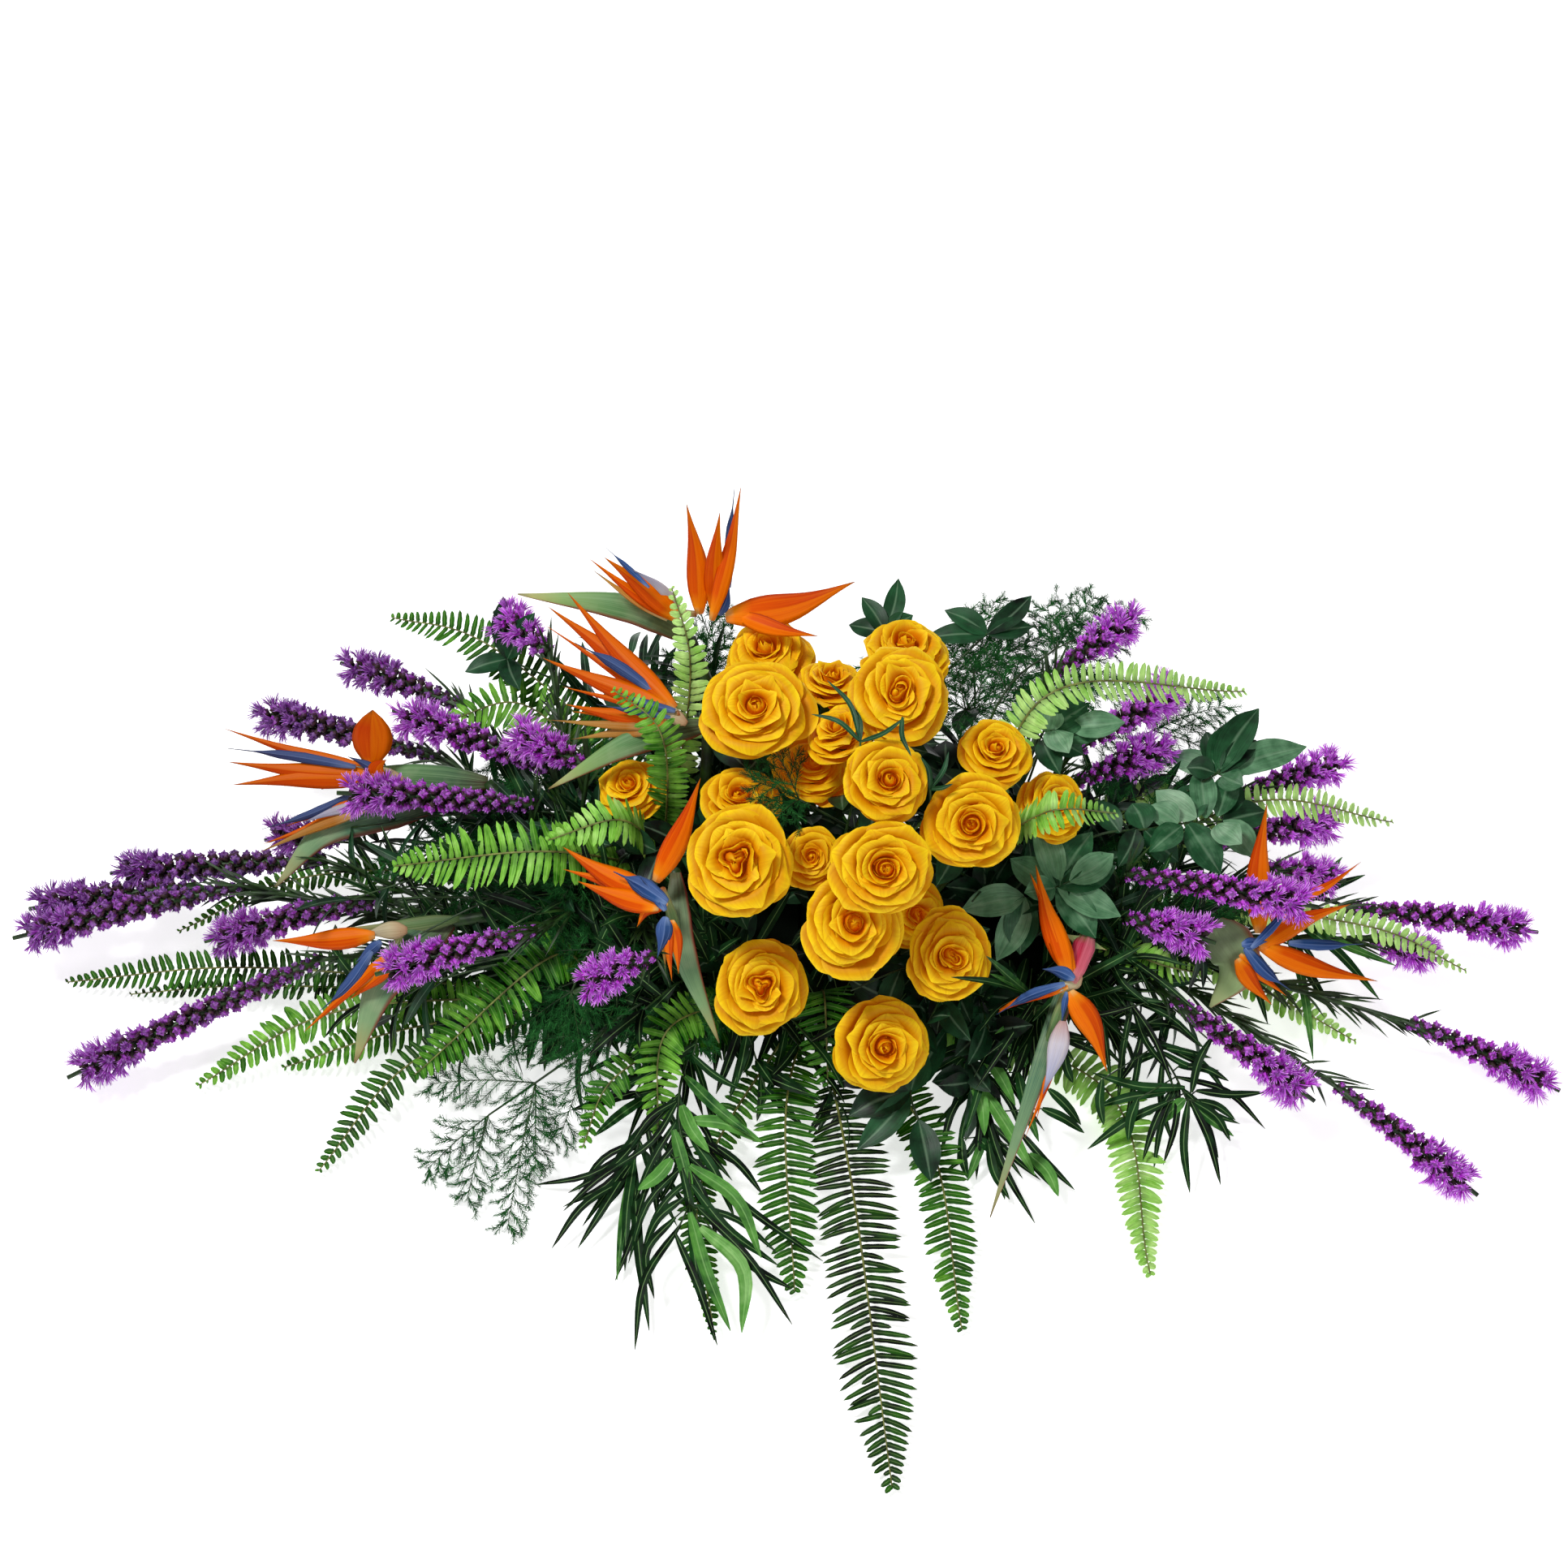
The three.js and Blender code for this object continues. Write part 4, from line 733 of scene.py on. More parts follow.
def leaf_material(name, dark, light, pale, rough=0.4, ribs=10, midrib=0, shine=0.3, base_shade=0,
                  palest=None, painted_glow=0):
    """A leaf: dark to light by its tint, veined along its length, with a paler midrib."""
    look = Look(name, Roughness=rough, Specular_IOR_Level=shine)
    palest = palest or pale
    # The tint sets the green: for fronds and broad leaves it is partly their own green, partly painted light
    # and shade, and the palest colour, which also colours the midrib, is painted light on leaves lit through
    shade = look.math("ADD", look.tint, look.span(look.noise(70, 3), 0.3, 0.7, -0.18, 0.18))
    look.colour = look.ramp(look.span(shade, 0, 1.4), f"0 {dark}, 0.43 {light}, 0.71 {pale}, 1 {palest}")
    veins = look.streaks(ribs, 2, 3)
    look.over(dark, veins, 0.4, 0.7, 0.35)
    if midrib:
        look.over(palest, look.aside(), 0.02, 0.14, 0, midrib)
    look.over(dark, look.along, 0, 0.4, 0, base_shade)
    return look.done(veins, 0.35, 0.0005, painted_glow=painted_glow)


def floret_material():
    look = Look("liatris_floret", Roughness=0.6, Specular_IOR_Level=0.25)
    look.colour = look.ramp(look.along, "0 #4c0858, 0.45 #b81ccc, 0.75 #d864f0, 1 #f4b8ff")
    look.blend(look.tint, look.ramp(look.along, "0 #100418, 0.45 #280a40, 0.75 #48206c, 1 #8058a8"))
    # Darker on one side of each thread and in the valleys between a dome's lobes: painted shade
    look.over("#240a20", look.across, -0.05, -0.25, 0.75)
    look.over("#d59bf0", look.noise(220), 0.4, 0.7, 0.35)
    # The florets glow in their own colour: painted glow that lifts spikes standing in shade
    return look.done(painted_glow=0.22)


def bract_material():
    look = Look("liatris_bract", Roughness=0.55, Specular_IOR_Level=0.3)
    look.colour = look.ramp(look.along, "0 #1a1c10, 0.55 #382a22, 0.8 #4a2434, 1 #6c2c78")
    look.over("#2a1a24", look.noise(300), 0.35, 0.7, 0.5)
    return look.done(look.noise(500), 0.4)


def foam_material():
    look = Look("foam", Roughness=0.95, Specular_IOR_Level=0.1)
    pores = look.noise(900, 4, rough=0.7)
    look.colour = look.ramp(pores, "0.3 #040a05, 0.6 #0a160c, 0.8 #122416")
    return look.done(pores, 0.6, 0.0008)


def tray_material():
    look = Look("tray_plastic", Roughness=0.5)
    grain = look.noise(400, 3)
    look.colour = look.ramp(look.noise(25, 3), "0.3 #060e08, 0.7 #0c1a10")
    return look.done(grain, 0.15, rough=look.span(grain, 0.3, 0.7, 0.4, 0.6))


def floor_material():
    look = Look("floor", Roughness=0.9, Specular_IOR_Level=0.1, Emission_Strength=0.68)
    look.shader.inputs["Emission Color"].default_value = (1, 1, 1, 1)
    look.colour = look.ramp(look.noise(3), "0 #f2f2f2, 1 #f8f8f8")
    return look.done()


PETAL = petal_material()
ROSE_STEM = stem_material("rose_stem", "#2c4f22", "#54802f")
CALYX = leaf_material("rose_calyx", "#16300f", "#3f6a22", "#789a40", rough=0.5)
BLADES = {
    "orange": blade_material(
        "sepal_orange", "0 #e8b870, 0.07 #f08c10, 0.2 #d85600, 0.7 #c44000, 0.92 #c05c00, 1 #5c4410",
        keel="#e87808", fold="#f08000", shade="#7c2400"),
    "beige": blade_material("sepal_beige", "0 #d8c490, 0.3 #c07a24, 0.8 #c09040, 1 #7a4c20"),
    "blue": blade_material("tongue_blue", "0 #7890b8, 0.2 #2e5084, 0.6 #1c3668, 0.85 #202c4c, 1 #0c1018",
                           keel="#7890c0", fold="#40609a"),
    "lilac": blade_material("sepal_lilac", "0 #c09a98, 0.3 #ccc6d0, 0.8 #a8acc8, 1 #4a5a88"),
    "cream": blade_material("floret_cream", "0 #b8906c, 0.4 #c8bc98, 1 #b0ac98"),
    "green": blade_material("bract_green", "0 #3c5c34, 0.5 #6c8a58, 0.9 #a09c68, 1 #98582c"),
    "pink": blade_material("neck_pink", "0 #c8a890, 0.35 #c83c54, 0.8 #b0304c, 1 #4a6a34", fold="#d87888"),
}
SPATHE = spathe_material()
FLORET = floret_material()
BRACT = bract_material()
# The leaves' glow below is painted glow, as if light passed through them
FERN = leaf_material("fern_leaf", "#020e02", "#2c7008", "#84c844", rough=0.5, ribs=3, midrib=0.25,
                     shine=0.15, base_shade=0.5, palest="#c4f08c", painted_glow=0.06)
FERN_RIB = stem_material("fern_rib", "#4a4a18", "#8c9448")
RUSCUS_LEAF = leaf_material("ruscus_leaf", "#040e07", "#245a34", "#6c9c74", rough=0.42, ribs=12,
                            midrib=0.25, shine=0.22, palest="#a0c4a0", painted_glow=0.03)
PODOCARPUS_LEAF = leaf_material("podocarpus_leaf", "#030c06", "#225424", "#64a648", rough=0.5,
                                midrib=0.42, shine=0.12, palest="#a4d684", painted_glow=0.04)
NEEDLE = leaf_material("plumosa_needle", "#06200c", "#206028", "#509c50", rough=0.6, shine=0.1, painted_glow=0.08)
WOODY = stem_material("green_stem", "#10240c", "#2c5018")


# Where stems leave the foam
def starts(name, count):
    """The places where the stems of a bundle part, in a ring."""
    at, way = ROOTS[name]
    across = unit(np.cross(way, RIGHT if abs(way[2]) > 0.9 else UP))
    ring = around(turns(count), across, np.cross(across, way))
    reach = BUNDLE["radius"] - STEM_RADIUS["rose"] if count > 1 else 0
    return at + (BUNDLE["outside"] - 0.003) * way + reach * ring


def bunch(name, finish):
    """A piece that starts with the stub of a bundle of stems."""
    piece = Piece(name + "_look")
    at, way = ROOTS[name]
    tube(piece, [at + BUNDLE["outside"] * way, at - 0.03 * way], BUNDLE["radius"],
         sides=10, steps=3, taper=0.8, finish=finish)
    return piece


# Leaves: how wide they are along their length, and what they stay clear of
STRAP = ([0, 0.15, 0.35, 0.65, 0.85, 0.95, 1], [0.35, 0.85, 1, 0.9, 0.55, 0.28, 0.06])
OVAL = ([0, 0.08, 0.25, 0.45, 0.62, 0.8, 0.92, 1], [0.1, 0.42, 0.86, 1, 0.93, 0.62, 0.26, 0.03])


def leaf(piece, root, tip, width, cup, tint, finish, n=9, m=5, arch=0.08, bow=0, face=SKYWARD, keys=OVAL,
         wave=0):
    length = np.linalg.norm(tip - root)
    side = unit(np.cross(tip - root, face))
    line = curve([root, (root + tip) / 2 + face * arch * length + side * bow * length, tip], n - 1)
    _, across, out = frames(line, face)
    t = np.linspace(0, 1, n)
    u = np.linspace(-1, 1, m)
    half = width / 2 * np.interp(t, *keys)[:, None]
    lift = cup * np.abs(u) ** 1.5 * half + wave * np.sin(7 * t)[:, None] * u * half
    piece.sheets(loft(line, across, out, u * half, lift), t, u, tint, finish)


def over_fern(point):
    """Whether a place hides one of the fronds or broad leaves that are kept clear."""
    column, row = photo_of(point[None])[0]
    return any(a < column < c and b < row < d and point[2] * 1000 > low for a, b, c, d, low in CLEAR)


def over_bird(point):
    """Whether a place hides a sepal or a beak."""
    first, last = BIRD_LINES[:, 0], BIRD_LINES[:, 1]
    run = last - first
    at = photo_of(point[None])
    t = np.clip(((at - first[:, :2]) * run[:, :2]).sum(1) / (run[:, :2] ** 2).sum(1), 0, 1)
    near = first + t[:, None] * run
    apart = np.linalg.norm(at - near[:, :2], axis=1)
    return bool(np.any((apart < NEAR_BIRD) & (point[2] * 1000 > near[:, 2] - BELOW_BIRD)))


def in_bloom(point):
    """Whether a place is inside a rose, or in front of one."""
    for _, *numbers in ROSES:
        middle, axis, width = bloom_of(numbers)
        apart = point - middle
        ahead = apart @ axis
        if ahead > -0.4 * width and np.linalg.norm(apart - ahead * axis) < 0.53 * width:
            return True
    return False


# Roses
def bloom_of(numbers):
    """A rose's middle, axis and width."""
    right, up = numbers[4:6]
    return place(*numbers[:3]), unit(EYEWARD + right * RIGHT + up * UP), numbers[3] / 1000


def rose_petals(piece, middle, axis, size, openness, hearts, rng):
    """Petals on a spiral: closed and upright at the heart, rolled well back at the outside."""
    across = unit(np.cross(axis, UP))
    out = np.cross(across, axis)
    count = int(rng.integers(31, 38))
    o = np.linspace(0, 1, count)[:, None, None] ** rng.uniform(1.0, 1.2)
    keys = [0, 0.08, 0.16, 0.26, 0.45, 0.65, 0.82, 1]
    wide = 0.78 + 0.22 * openness

    def key(*values):
        return np.interp(o, keys, values)

    def some(spread):
        return rng.uniform(-spread, spread, (count, 1, 1))

    length = key(0.96, 1.0, 1.04, 1.08, 1.12, 1.12, 1.06, 1.0) * (1 + some(0.07))
    base_lean = np.radians(key(40, 38, 36, 33, 38, 50, 64, 76) * wide)
    mid_lean = np.radians(key(0, -4, -3, 2, 11, 25, 44, 60) * wide + some(4) * (0.5 + 1.5 * o))
    tip_lean = np.radians(key(-84, -56, -12, 44, 96, 122, 138, 150) * wide + some(18))
    breadth = key(0.7, 0.82, 0.94, 1.1, 1.4, 1.6, 1.66, 1.56) * (1 + some(0.1))
    start = key(0.05, 0.065, 0.08, 0.09, 0.1, 0.12, 0.14, 0.15)
    turn = np.arange(count)[:, None, None] * GOLDEN_TURN + some(0.2)

    # v runs up a petal, and u from side to side
    v = (1 - (1 - np.linspace(0, 1, 12)) ** 1.5)[:, None]
    u = np.linspace(-1, 1, 15)
    lean = mix(base_lean, mid_lean, smooth(v, 0, 0.5)) + (tip_lean - mid_lean) * smooth(v, 0.72, 1) ** 1.3
    step = np.diff(v, axis=0, prepend=0) * length
    z = -0.58 + np.cumsum(np.cos(lean) * step, axis=1)
    r = np.maximum(start + np.cumsum(np.sin(lean) * step, axis=1), 0.02)
    shape = np.interp(v, [0, 0.12, 0.3, 0.5, 0.7, 0.84, 0.91, 0.97, 1],
                      [0.3, 0.5, 0.76, 0.93, 1, 0.99, 0.93, 0.8, 0.62])
    bend = np.maximum(r * (1.02 + 0.22 * o), 0.02)
    angle = u * np.minimum(breadth / 2 * shape / bend, 2.2)
    slip = 1 + 0.14 * u * (1 - 0.6 * o)
    phase = rng.uniform(0, 6.3, (count, 1, 1))
    waves = ((0.6, 2.6, 1), (0.35, 5.7, -2), (0.12, 11, 3))
    ruffle = sum(height * np.sin(rate * u + late * phase) for height, rate, late in waves)
    ruffle = ruffle * rng.uniform(0.3, 1.3, (count, 1, 1))
    pinch = rng.uniform(0, 1, (count, 1, 1)) ** 2
    off = np.abs(u)
    rim = 1 - 0.2 * off**2 * v**3 + 0.12 * pinch * np.exp(-((u / 0.22) ** 2)) * v**3
    curl = (0.12 + 0.1 * pinch) * o * off**2.2 * smooth(v, 0.4, 1)
    radial = (r + bend * (np.cos(angle) - 1)) * slip + 0.024 * ruffle * v**3 * (0.4 + o) + 0.25 * curl
    radial = radial - 0.9 * (1 - rim) * np.sin(lean)
    sideways = bend * np.sin(angle) * slip
    rise = z - (1 - rim) * np.cos(lean) - curl + 0.022 * ruffle * v**3
    x = radial * np.cos(turn) - sideways * np.sin(turn)
    y = radial * np.sin(turn) + sideways * np.cos(turn)

    # The heart leans a little, and may be folded into several swirls
    heart = rng.uniform(-0.08, 0.08, 2)
    squash = rng.uniform(0.94, 1.05)
    if hearts > 1:
        far = np.hypot(x, y)
        fold = 0.42 * np.exp(-((far / 0.34) ** 2)) * np.cos(hearts * np.arctan2(y, x) + 7 * far + phase[0])
        x, y = x * (1 + fold), y * (1 + fold)
    shift = (1 - o) ** 2 * v
    x, y = x * squash + heart[0] * shift, y / squash + heart[1] * shift
    points = x[..., None] * across + y[..., None] * out + rise[..., None] * axis
    piece.sheets(middle + size * points, v, u, o)
    ring = around(turns(10), across, out)
    bud = [(0.04, -0.62), (0.1, -0.5), (0.12, -0.2), (0.1, 0.05), (0.06, 0.17), (0.015, 0.22)]
    rings = np.stack([middle + size * (r * ring + h * axis) for r, h in bud])
    piece.tubes(rings, np.linspace(0, 0.9, len(bud)), 0, 0)


def rose_calyx(piece, under, axis, size, finish):
    across = unit(np.cross(axis, UP))
    out = np.cross(across, axis)
    ring = around(turns(10), across, out)
    profile = [(0.0028, -0.02), (0.0045, -0.012), (0.0085, -0.006), (0.0095, 0.001), (0.007, 0.0035)]
    piece.tubes(np.stack([under + r * ring + h * axis for r, h in profile]), 0.5, 0, 0.4, finish)
    t = np.linspace(0, 1, 7)[:, None]
    u = np.array([-1, 0, 1])
    half = 0.0045 * np.interp(t, [0, 0.25, 0.6, 1], [0.7, 1, 0.6, 0.05])
    for way in around(np.arange(5) * FIFTH_TURN + 0.4, across, out):
        line = under + (0.006 + 0.6 * size * t) * way + axis * (0.004 * t + 0.012 * t**2)
        grid = line[:, None] + (u * half)[..., None] * np.cross(axis, way)
        grid[:, 1] -= 0.0008 * axis
        piece.sheets(grid, t, u, 0.5, finish + 1)


def rose_leaves(piece, start, under, axis, finish):
    """Dark leaves on the stem, under a bloom."""
    rng = np.random.default_rng(int(1e5 * abs(under[0])))
    down = unit(start - under)
    side = unit(np.cross(down, RIGHT + 0.3 * UP))
    for k in range(5):
        root = under + down * rng.uniform(0.03, 0.085) - axis * 0.004
        way = around(k * FIFTH_TURN + rng.uniform(-0.4, 0.4, 1), side, np.cross(down, side))[0]
        tip = root + unit(way + 0.4 * axis + rng.normal(0, 0.15, 3)) * rng.uniform(0.04, 0.058)
        if not any(in_bloom(mix(root, tip, t)) for t in (0.4, 0.7, 1)):
            leaf(piece, root, tip, LEAF_WIDTH["rose"], 0.15, rng.uniform(0, 0.35), finish, n=8, face=axis)


def sprigs(piece, name, finish):
    for (node, *at), tips in SPRIGS:
        if node == name:
            top = place(*at)
            tube(piece, [starts(name, 1)[0], top - 0.03 * UPRIGHT, top], STEM_RADIUS["thin"], steps=16)
            for tip in tips:
                leaf(piece, top, place(*tip), LEAF_WIDTH["sprig"], 0.3, 0.45, finish,
                     n=10, bow=0.1, keys=STRAP)


def make_roses():
    by_stem = {}
    for index, (node, *numbers) in enumerate(ROSES):
        name = f"rose_{index + 1:02d}"
        middle, axis, width = bloom_of(numbers)
        size = width / 2
        arch, openness, hearts = numbers[6:]
        bloom = Piece(name + "_bloom")
        rose_petals(bloom, middle, axis, size, openness, hearts, np.random.default_rng(100 + index))
        bloom.build([PETAL], "rose_petal", [name])
        by_stem.setdefault(node, []).append((middle - 0.6 * size * axis, axis, size, arch))
    for node, blooms in by_stem.items():
        stems = bunch(node, 0)
        for start, (under, axis, size, arch) in zip(starts(node, len(blooms)), blooms):
            over = [start + (0, -0.01, arch / 1000)] if arch else []
            tube(stems, [start, *over, under - 0.06 * axis, under - 0.02 * axis, under],
                 STEM_RADIUS["rose"], sides=8, steps=24, taper=1)
            rose_calyx(stems, under, axis, size, 1)
            rose_leaves(stems, start, under, axis, 3)
        sprigs(stems, node, 3)
        stems.build([ROSE_STEM, CALYX, CALYX, RUSCUS_LEAF], "rose_stem", [node])


# Birds of paradise, and how wide their blades are along their length
SEPAL = ([0, 0.08, 0.22, 0.36, 0.5, 0.66, 0.82, 1], [0.34, 0.6, 0.95, 1, 0.84, 0.52, 0.24, 0.02])
BROAD_SEPAL = ([0, 0.1, 0.3, 0.5, 0.7, 0.88, 1], [0.16, 0.42, 0.86, 1, 0.86, 0.46, 0.04])
TONGUE = ([0, 0.12, 0.4, 0.62, 0.72, 0.8, 1], [0.4, 0.7, 1, 0.8, 0.35, 0.12, 0.05])
PINK_NECK = ([0, 0.3, 0.8, 1], [0.45, 0.85, 1, 0.7])
LIP = ([0, 0.5, 1], [0.8, 1, 0.6])
BEAK = ([0, 0.1, 0.3, 0.55, 0.75, 0.9, 1], [0.05, 0.22, 0.55, 0.95, 1, 0.75, 0.42])


def blade(piece, root, tip, width, bow, finish, thick=0.16, keys=SEPAL, tint=0.5):
    """A sepal or tongue: keeled, widest in its middle, drawn out to a point."""
    n = 16
    side = unit(np.cross(tip - root, EYEWARD))
    middle = (root + tip) / 2 + side * bow * PIXEL - EYEWARD * 0.03 * np.linalg.norm(tip - root)
    line = curve([root, middle, tip], n - 1)
    _, across, out = frames(line, EYEWARD)
    t = np.linspace(0, 1, n)
    share = np.interp(t, *keys)[:, None]
    wide, deep = np.array([
        (-1, 0.1), (-0.62, 0.55), (-0.3, 0.62), (0, 1.1), (0.3, 0.62), (0.62, 0.55), (1, 0.1),
        (0.5, -0.5), (0, -0.75), (-0.5, -0.5),
    ]).T
    depth = np.minimum(thick * width, 0.004) * (0.35 + 0.65 * share)
    piece.tubes(loft(line, across, out, wide * width / 2 * share, deep * depth), t, wide, tint, finish)


def spathe(piece, base, beak, neck, foot, wide, grey):
    """The beak: a long boat, ridged below. And its stem."""
    neck = neck - 0.012 * EYEWARD
    n = 22
    line = curve([beak, mix(base - 0.012 * EYEWARD, beak, 0.35), neck], n - 1)
    _, across, out = frames(line, EYEWARD)
    t = np.linspace(0, 1, n)
    half = wide * PIXEL / 2 * np.interp(t, *BEAK)[:, None]
    turn = turns(14)
    deep = (0.62 * np.sin(turn) + 0.12 * np.cos(2 * turn)) * half
    piece.tubes(loft(line, across, out, np.cos(turn) * half, deep), t, np.cos(turn), grey, 0)
    top = foot + UPRIGHT * (FOAM["top"] + BUNDLE["outside"])
    over = mix(top, neck, 0.35) + UPRIGHT * 0.12 * np.linalg.norm(neck - top)
    tube(piece, [foot + UPRIGHT * 0.062, top, over, neck], STEM_RADIUS["bird"],
         sides=10, steps=26, taper=1, finish=1)


def make_birds():
    kinds = list(BLADES)
    for (name, *numbers), blades in BIRDS:
        base, beak, neck = places(numbers[:9])
        foot = np.array([*numbers[9:11], 0]) / 1000
        wide, grey, shade = numbers[11:]
        piece = Piece(name + "_beak")
        spathe(piece, base, beak, neck, foot, wide, grey)
        piece.build([SPATHE, WOODY], "bird_spathe", [name + "_spathe"])
        flower = Piece(name + "_sepals")
        for kind, *row in blades:
            root, tip = places(row[:6])
            width, bow = row[6:]
            if kind == "blue" and np.linalg.norm(tip - root) > 0.05:
                keys = TONGUE
            elif kind == "pink":
                keys = PINK_NECK
            else:
                keys = BROAD_SEPAL if width > 45 else SEPAL
            blade(flower, root, tip, width * PIXEL, bow, kinds.index(kind), keys=keys, tint=shade)
        lip = mix(base, beak, 0.3) - 0.011 * EYEWARD
        blade(flower, lip, base + 0.004 * UP, 0.009, 0, kinds.index("green"), thick=0.4, keys=LIP)
        flower.build(BLADES.values(), "bird_sepal", [name + "_flower"])


# Liatris
def heads(piece, base, size, way, side, over, tint_of):
    """Each head: a dark cup of bracts, and a dome of buds with small lobes."""
    sides = 8
    lobes = np.where(np.arange(sides) % 2, 0.72, 1.2)
    waves = np.stack([lobes[::-1], lobes, lobes[::-1]])
    ring = around(turns(sides), side[:, None], over[:, None])
    for profile, along, finish in (
        ([(0.0014, -0.002), (0.0034, 0.002), (0.0041, 0.0048)], [0, 0.5, 0.8], 1),
        ([(0.0038, 0.0036), (0.0038, 0.0062), (0.0022, 0.0084)], [0.2, 0.45, 0.7], 0),
    ):
        made = [base[:, None] + size[:, None, None] * (r * wave[:, None] * ring + h * way[:, None])
                for (r, h), wave in zip(profile, waves)]
        piece.tubes(np.stack(made, 1), along, waves - 1, tint_of(), finish)


def florets(piece, base, size, way, side, over, opened, blue, threads, rng):
    """Stubs on the closed heads, long threads on the open ones."""
    k = len(base)
    o = opened[:, None]
    reach = size[:, None] * mix(0.003, 0.0108, o) * rng.uniform(0.7, 1.15, (k, threads))
    spread = mix(0.5, 1.0, o) * np.sqrt(rng.uniform(0, 1, (k, threads)))
    outward = around(rng.uniform(0, 2 * math.pi, (k, threads)), side[:, None], over[:, None])
    ahead = way[:, None]
    first, last = (unit(ahead + outward * (spread * lean)[..., None]) for lean in (0.8, 1.6))
    root = base[:, None] + size[:, None, None] * (0.0068 * ahead + outward * 0.0022)
    bend = root + first * (reach * 0.55)[..., None]
    end = bend + last * (reach * 0.45)[..., None]
    flat = unit(np.cross(first, unit(rng.normal(size=(k, threads, 3)))))
    flat = flat * mix(0.001, 0.0004, o)[..., None] * size[:, None, None]
    shares = ((root, 1), (bend, 0.95), (end, 0.45))
    grid = np.stack([np.stack([p - flat * q, p + flat * q], 2) for p, q in shares], 2)
    tint = np.clip(np.repeat(blue - 0.15 * opened, threads) + rng.normal(0, 0.12, k * threads), 0, 1)
    piece.sheets(grid.reshape(-1, 3, 2, 3), [0.3, 0.65, 1], [-1, 1], tint, 0)


def liatris(piece, start, tip, foot, blue, rise, rng):
    """A spike: heads in a spiral, closed and dark at its foot, open and feathery at its tip."""
    n = 40
    points = [foot, mix(foot, tip, 0.5) + UPRIGHT * 0.003, tip]
    line = curve(points, n)
    length = np.linalg.norm(tip - foot)
    count = max(26, int(length / SPACING["head"]))
    t = (np.arange(count) + rng.uniform(-0.3, 0.3, count)).clip(0) / count * (0.985 - 0.011 / length)
    turn = np.arange(count) * GOLDEN_TURN + rng.uniform(-0.15, 0.15, count)
    centre, forward, across, out = (
        sample(t, np.linspace(0, 1, n + 1), values) for values in (line, *frames(line, SKYWARD)))
    forward = unit(forward)
    ring = unit(around(turn, across, out))
    grown = smooth(t, -0.25, 0.55)
    opened = smooth((t - 1) * length, -0.085, -0.03) * rng.uniform(0.75, 1, count)
    outward, onward = 1 - 0.5 * smooth(t, 0.93, 1), 0.4 + 1.1 * smooth(t, 0.9, 1)
    way = unit(ring * outward[:, None] + forward * onward[:, None])
    base = centre + ring * (0.0035 * grown)[:, None]
    size = mix(0.55, 1.18, grown) * rng.uniform(0.85, 1.12, count)
    side = unit(np.cross(way, forward))
    over = np.cross(side, way)
    heads(piece, base, size, way, side, over,
          lambda: np.clip(blue + 0.35 * (1 - grown) + rng.normal(0, 0.12, count), 0, 1))
    for chosen, threads in ((opened < 0.25, 8), (opened >= 0.25, 44)):
        if chosen.any():
            own = (values[chosen] for values in (base, size, way, side, over, opened))
            florets(piece, *own, blue, threads, rng)
    tube(piece, points, STEM_RADIUS["spike"], steps=10, taper=0.5, finish=2)
    bare = [start, start + rise * 0.026, foot]
    tube(piece, bare, STEM_RADIUS["liatris"], sides=7, steps=20, taper=0.9, finish=2)

    # Grassy leaves on the bare stem
    stem = curve(bare, 30)
    run = unit(np.gradient(stem, axis=0))
    for _ in range(int(np.linalg.norm(foot - start) / SPACING["grassy"])):
        i = int(rng.integers(6, 31))
        aside = unit(np.cross(run[i], unit(rng.normal(size=3))))
        end = stem[i] + run[i] * rng.uniform(0.02, 0.05) + aside * rng.uniform(0.008, 0.022) - UPRIGHT * 0.003
        leaf(piece, stem[i], end, LEAF_WIDTH["grassy"], 0.3, rng.uniform(0, 0.6), 2,
             n=5, m=3, arch=0.1, keys=STRAP)


def make_liatris():
    for (name,), spikes in SPIKES:
        piece = bunch(name, 2)
        for index, (start, row) in enumerate(zip(starts(name, len(spikes)), spikes)):
            liatris(piece, start, *places(row), row[6], ROOTS[name][1], np.random.default_rng(50 + index))
        piece.build([FLORET, BRACT, WOODY], "liatris", [name])


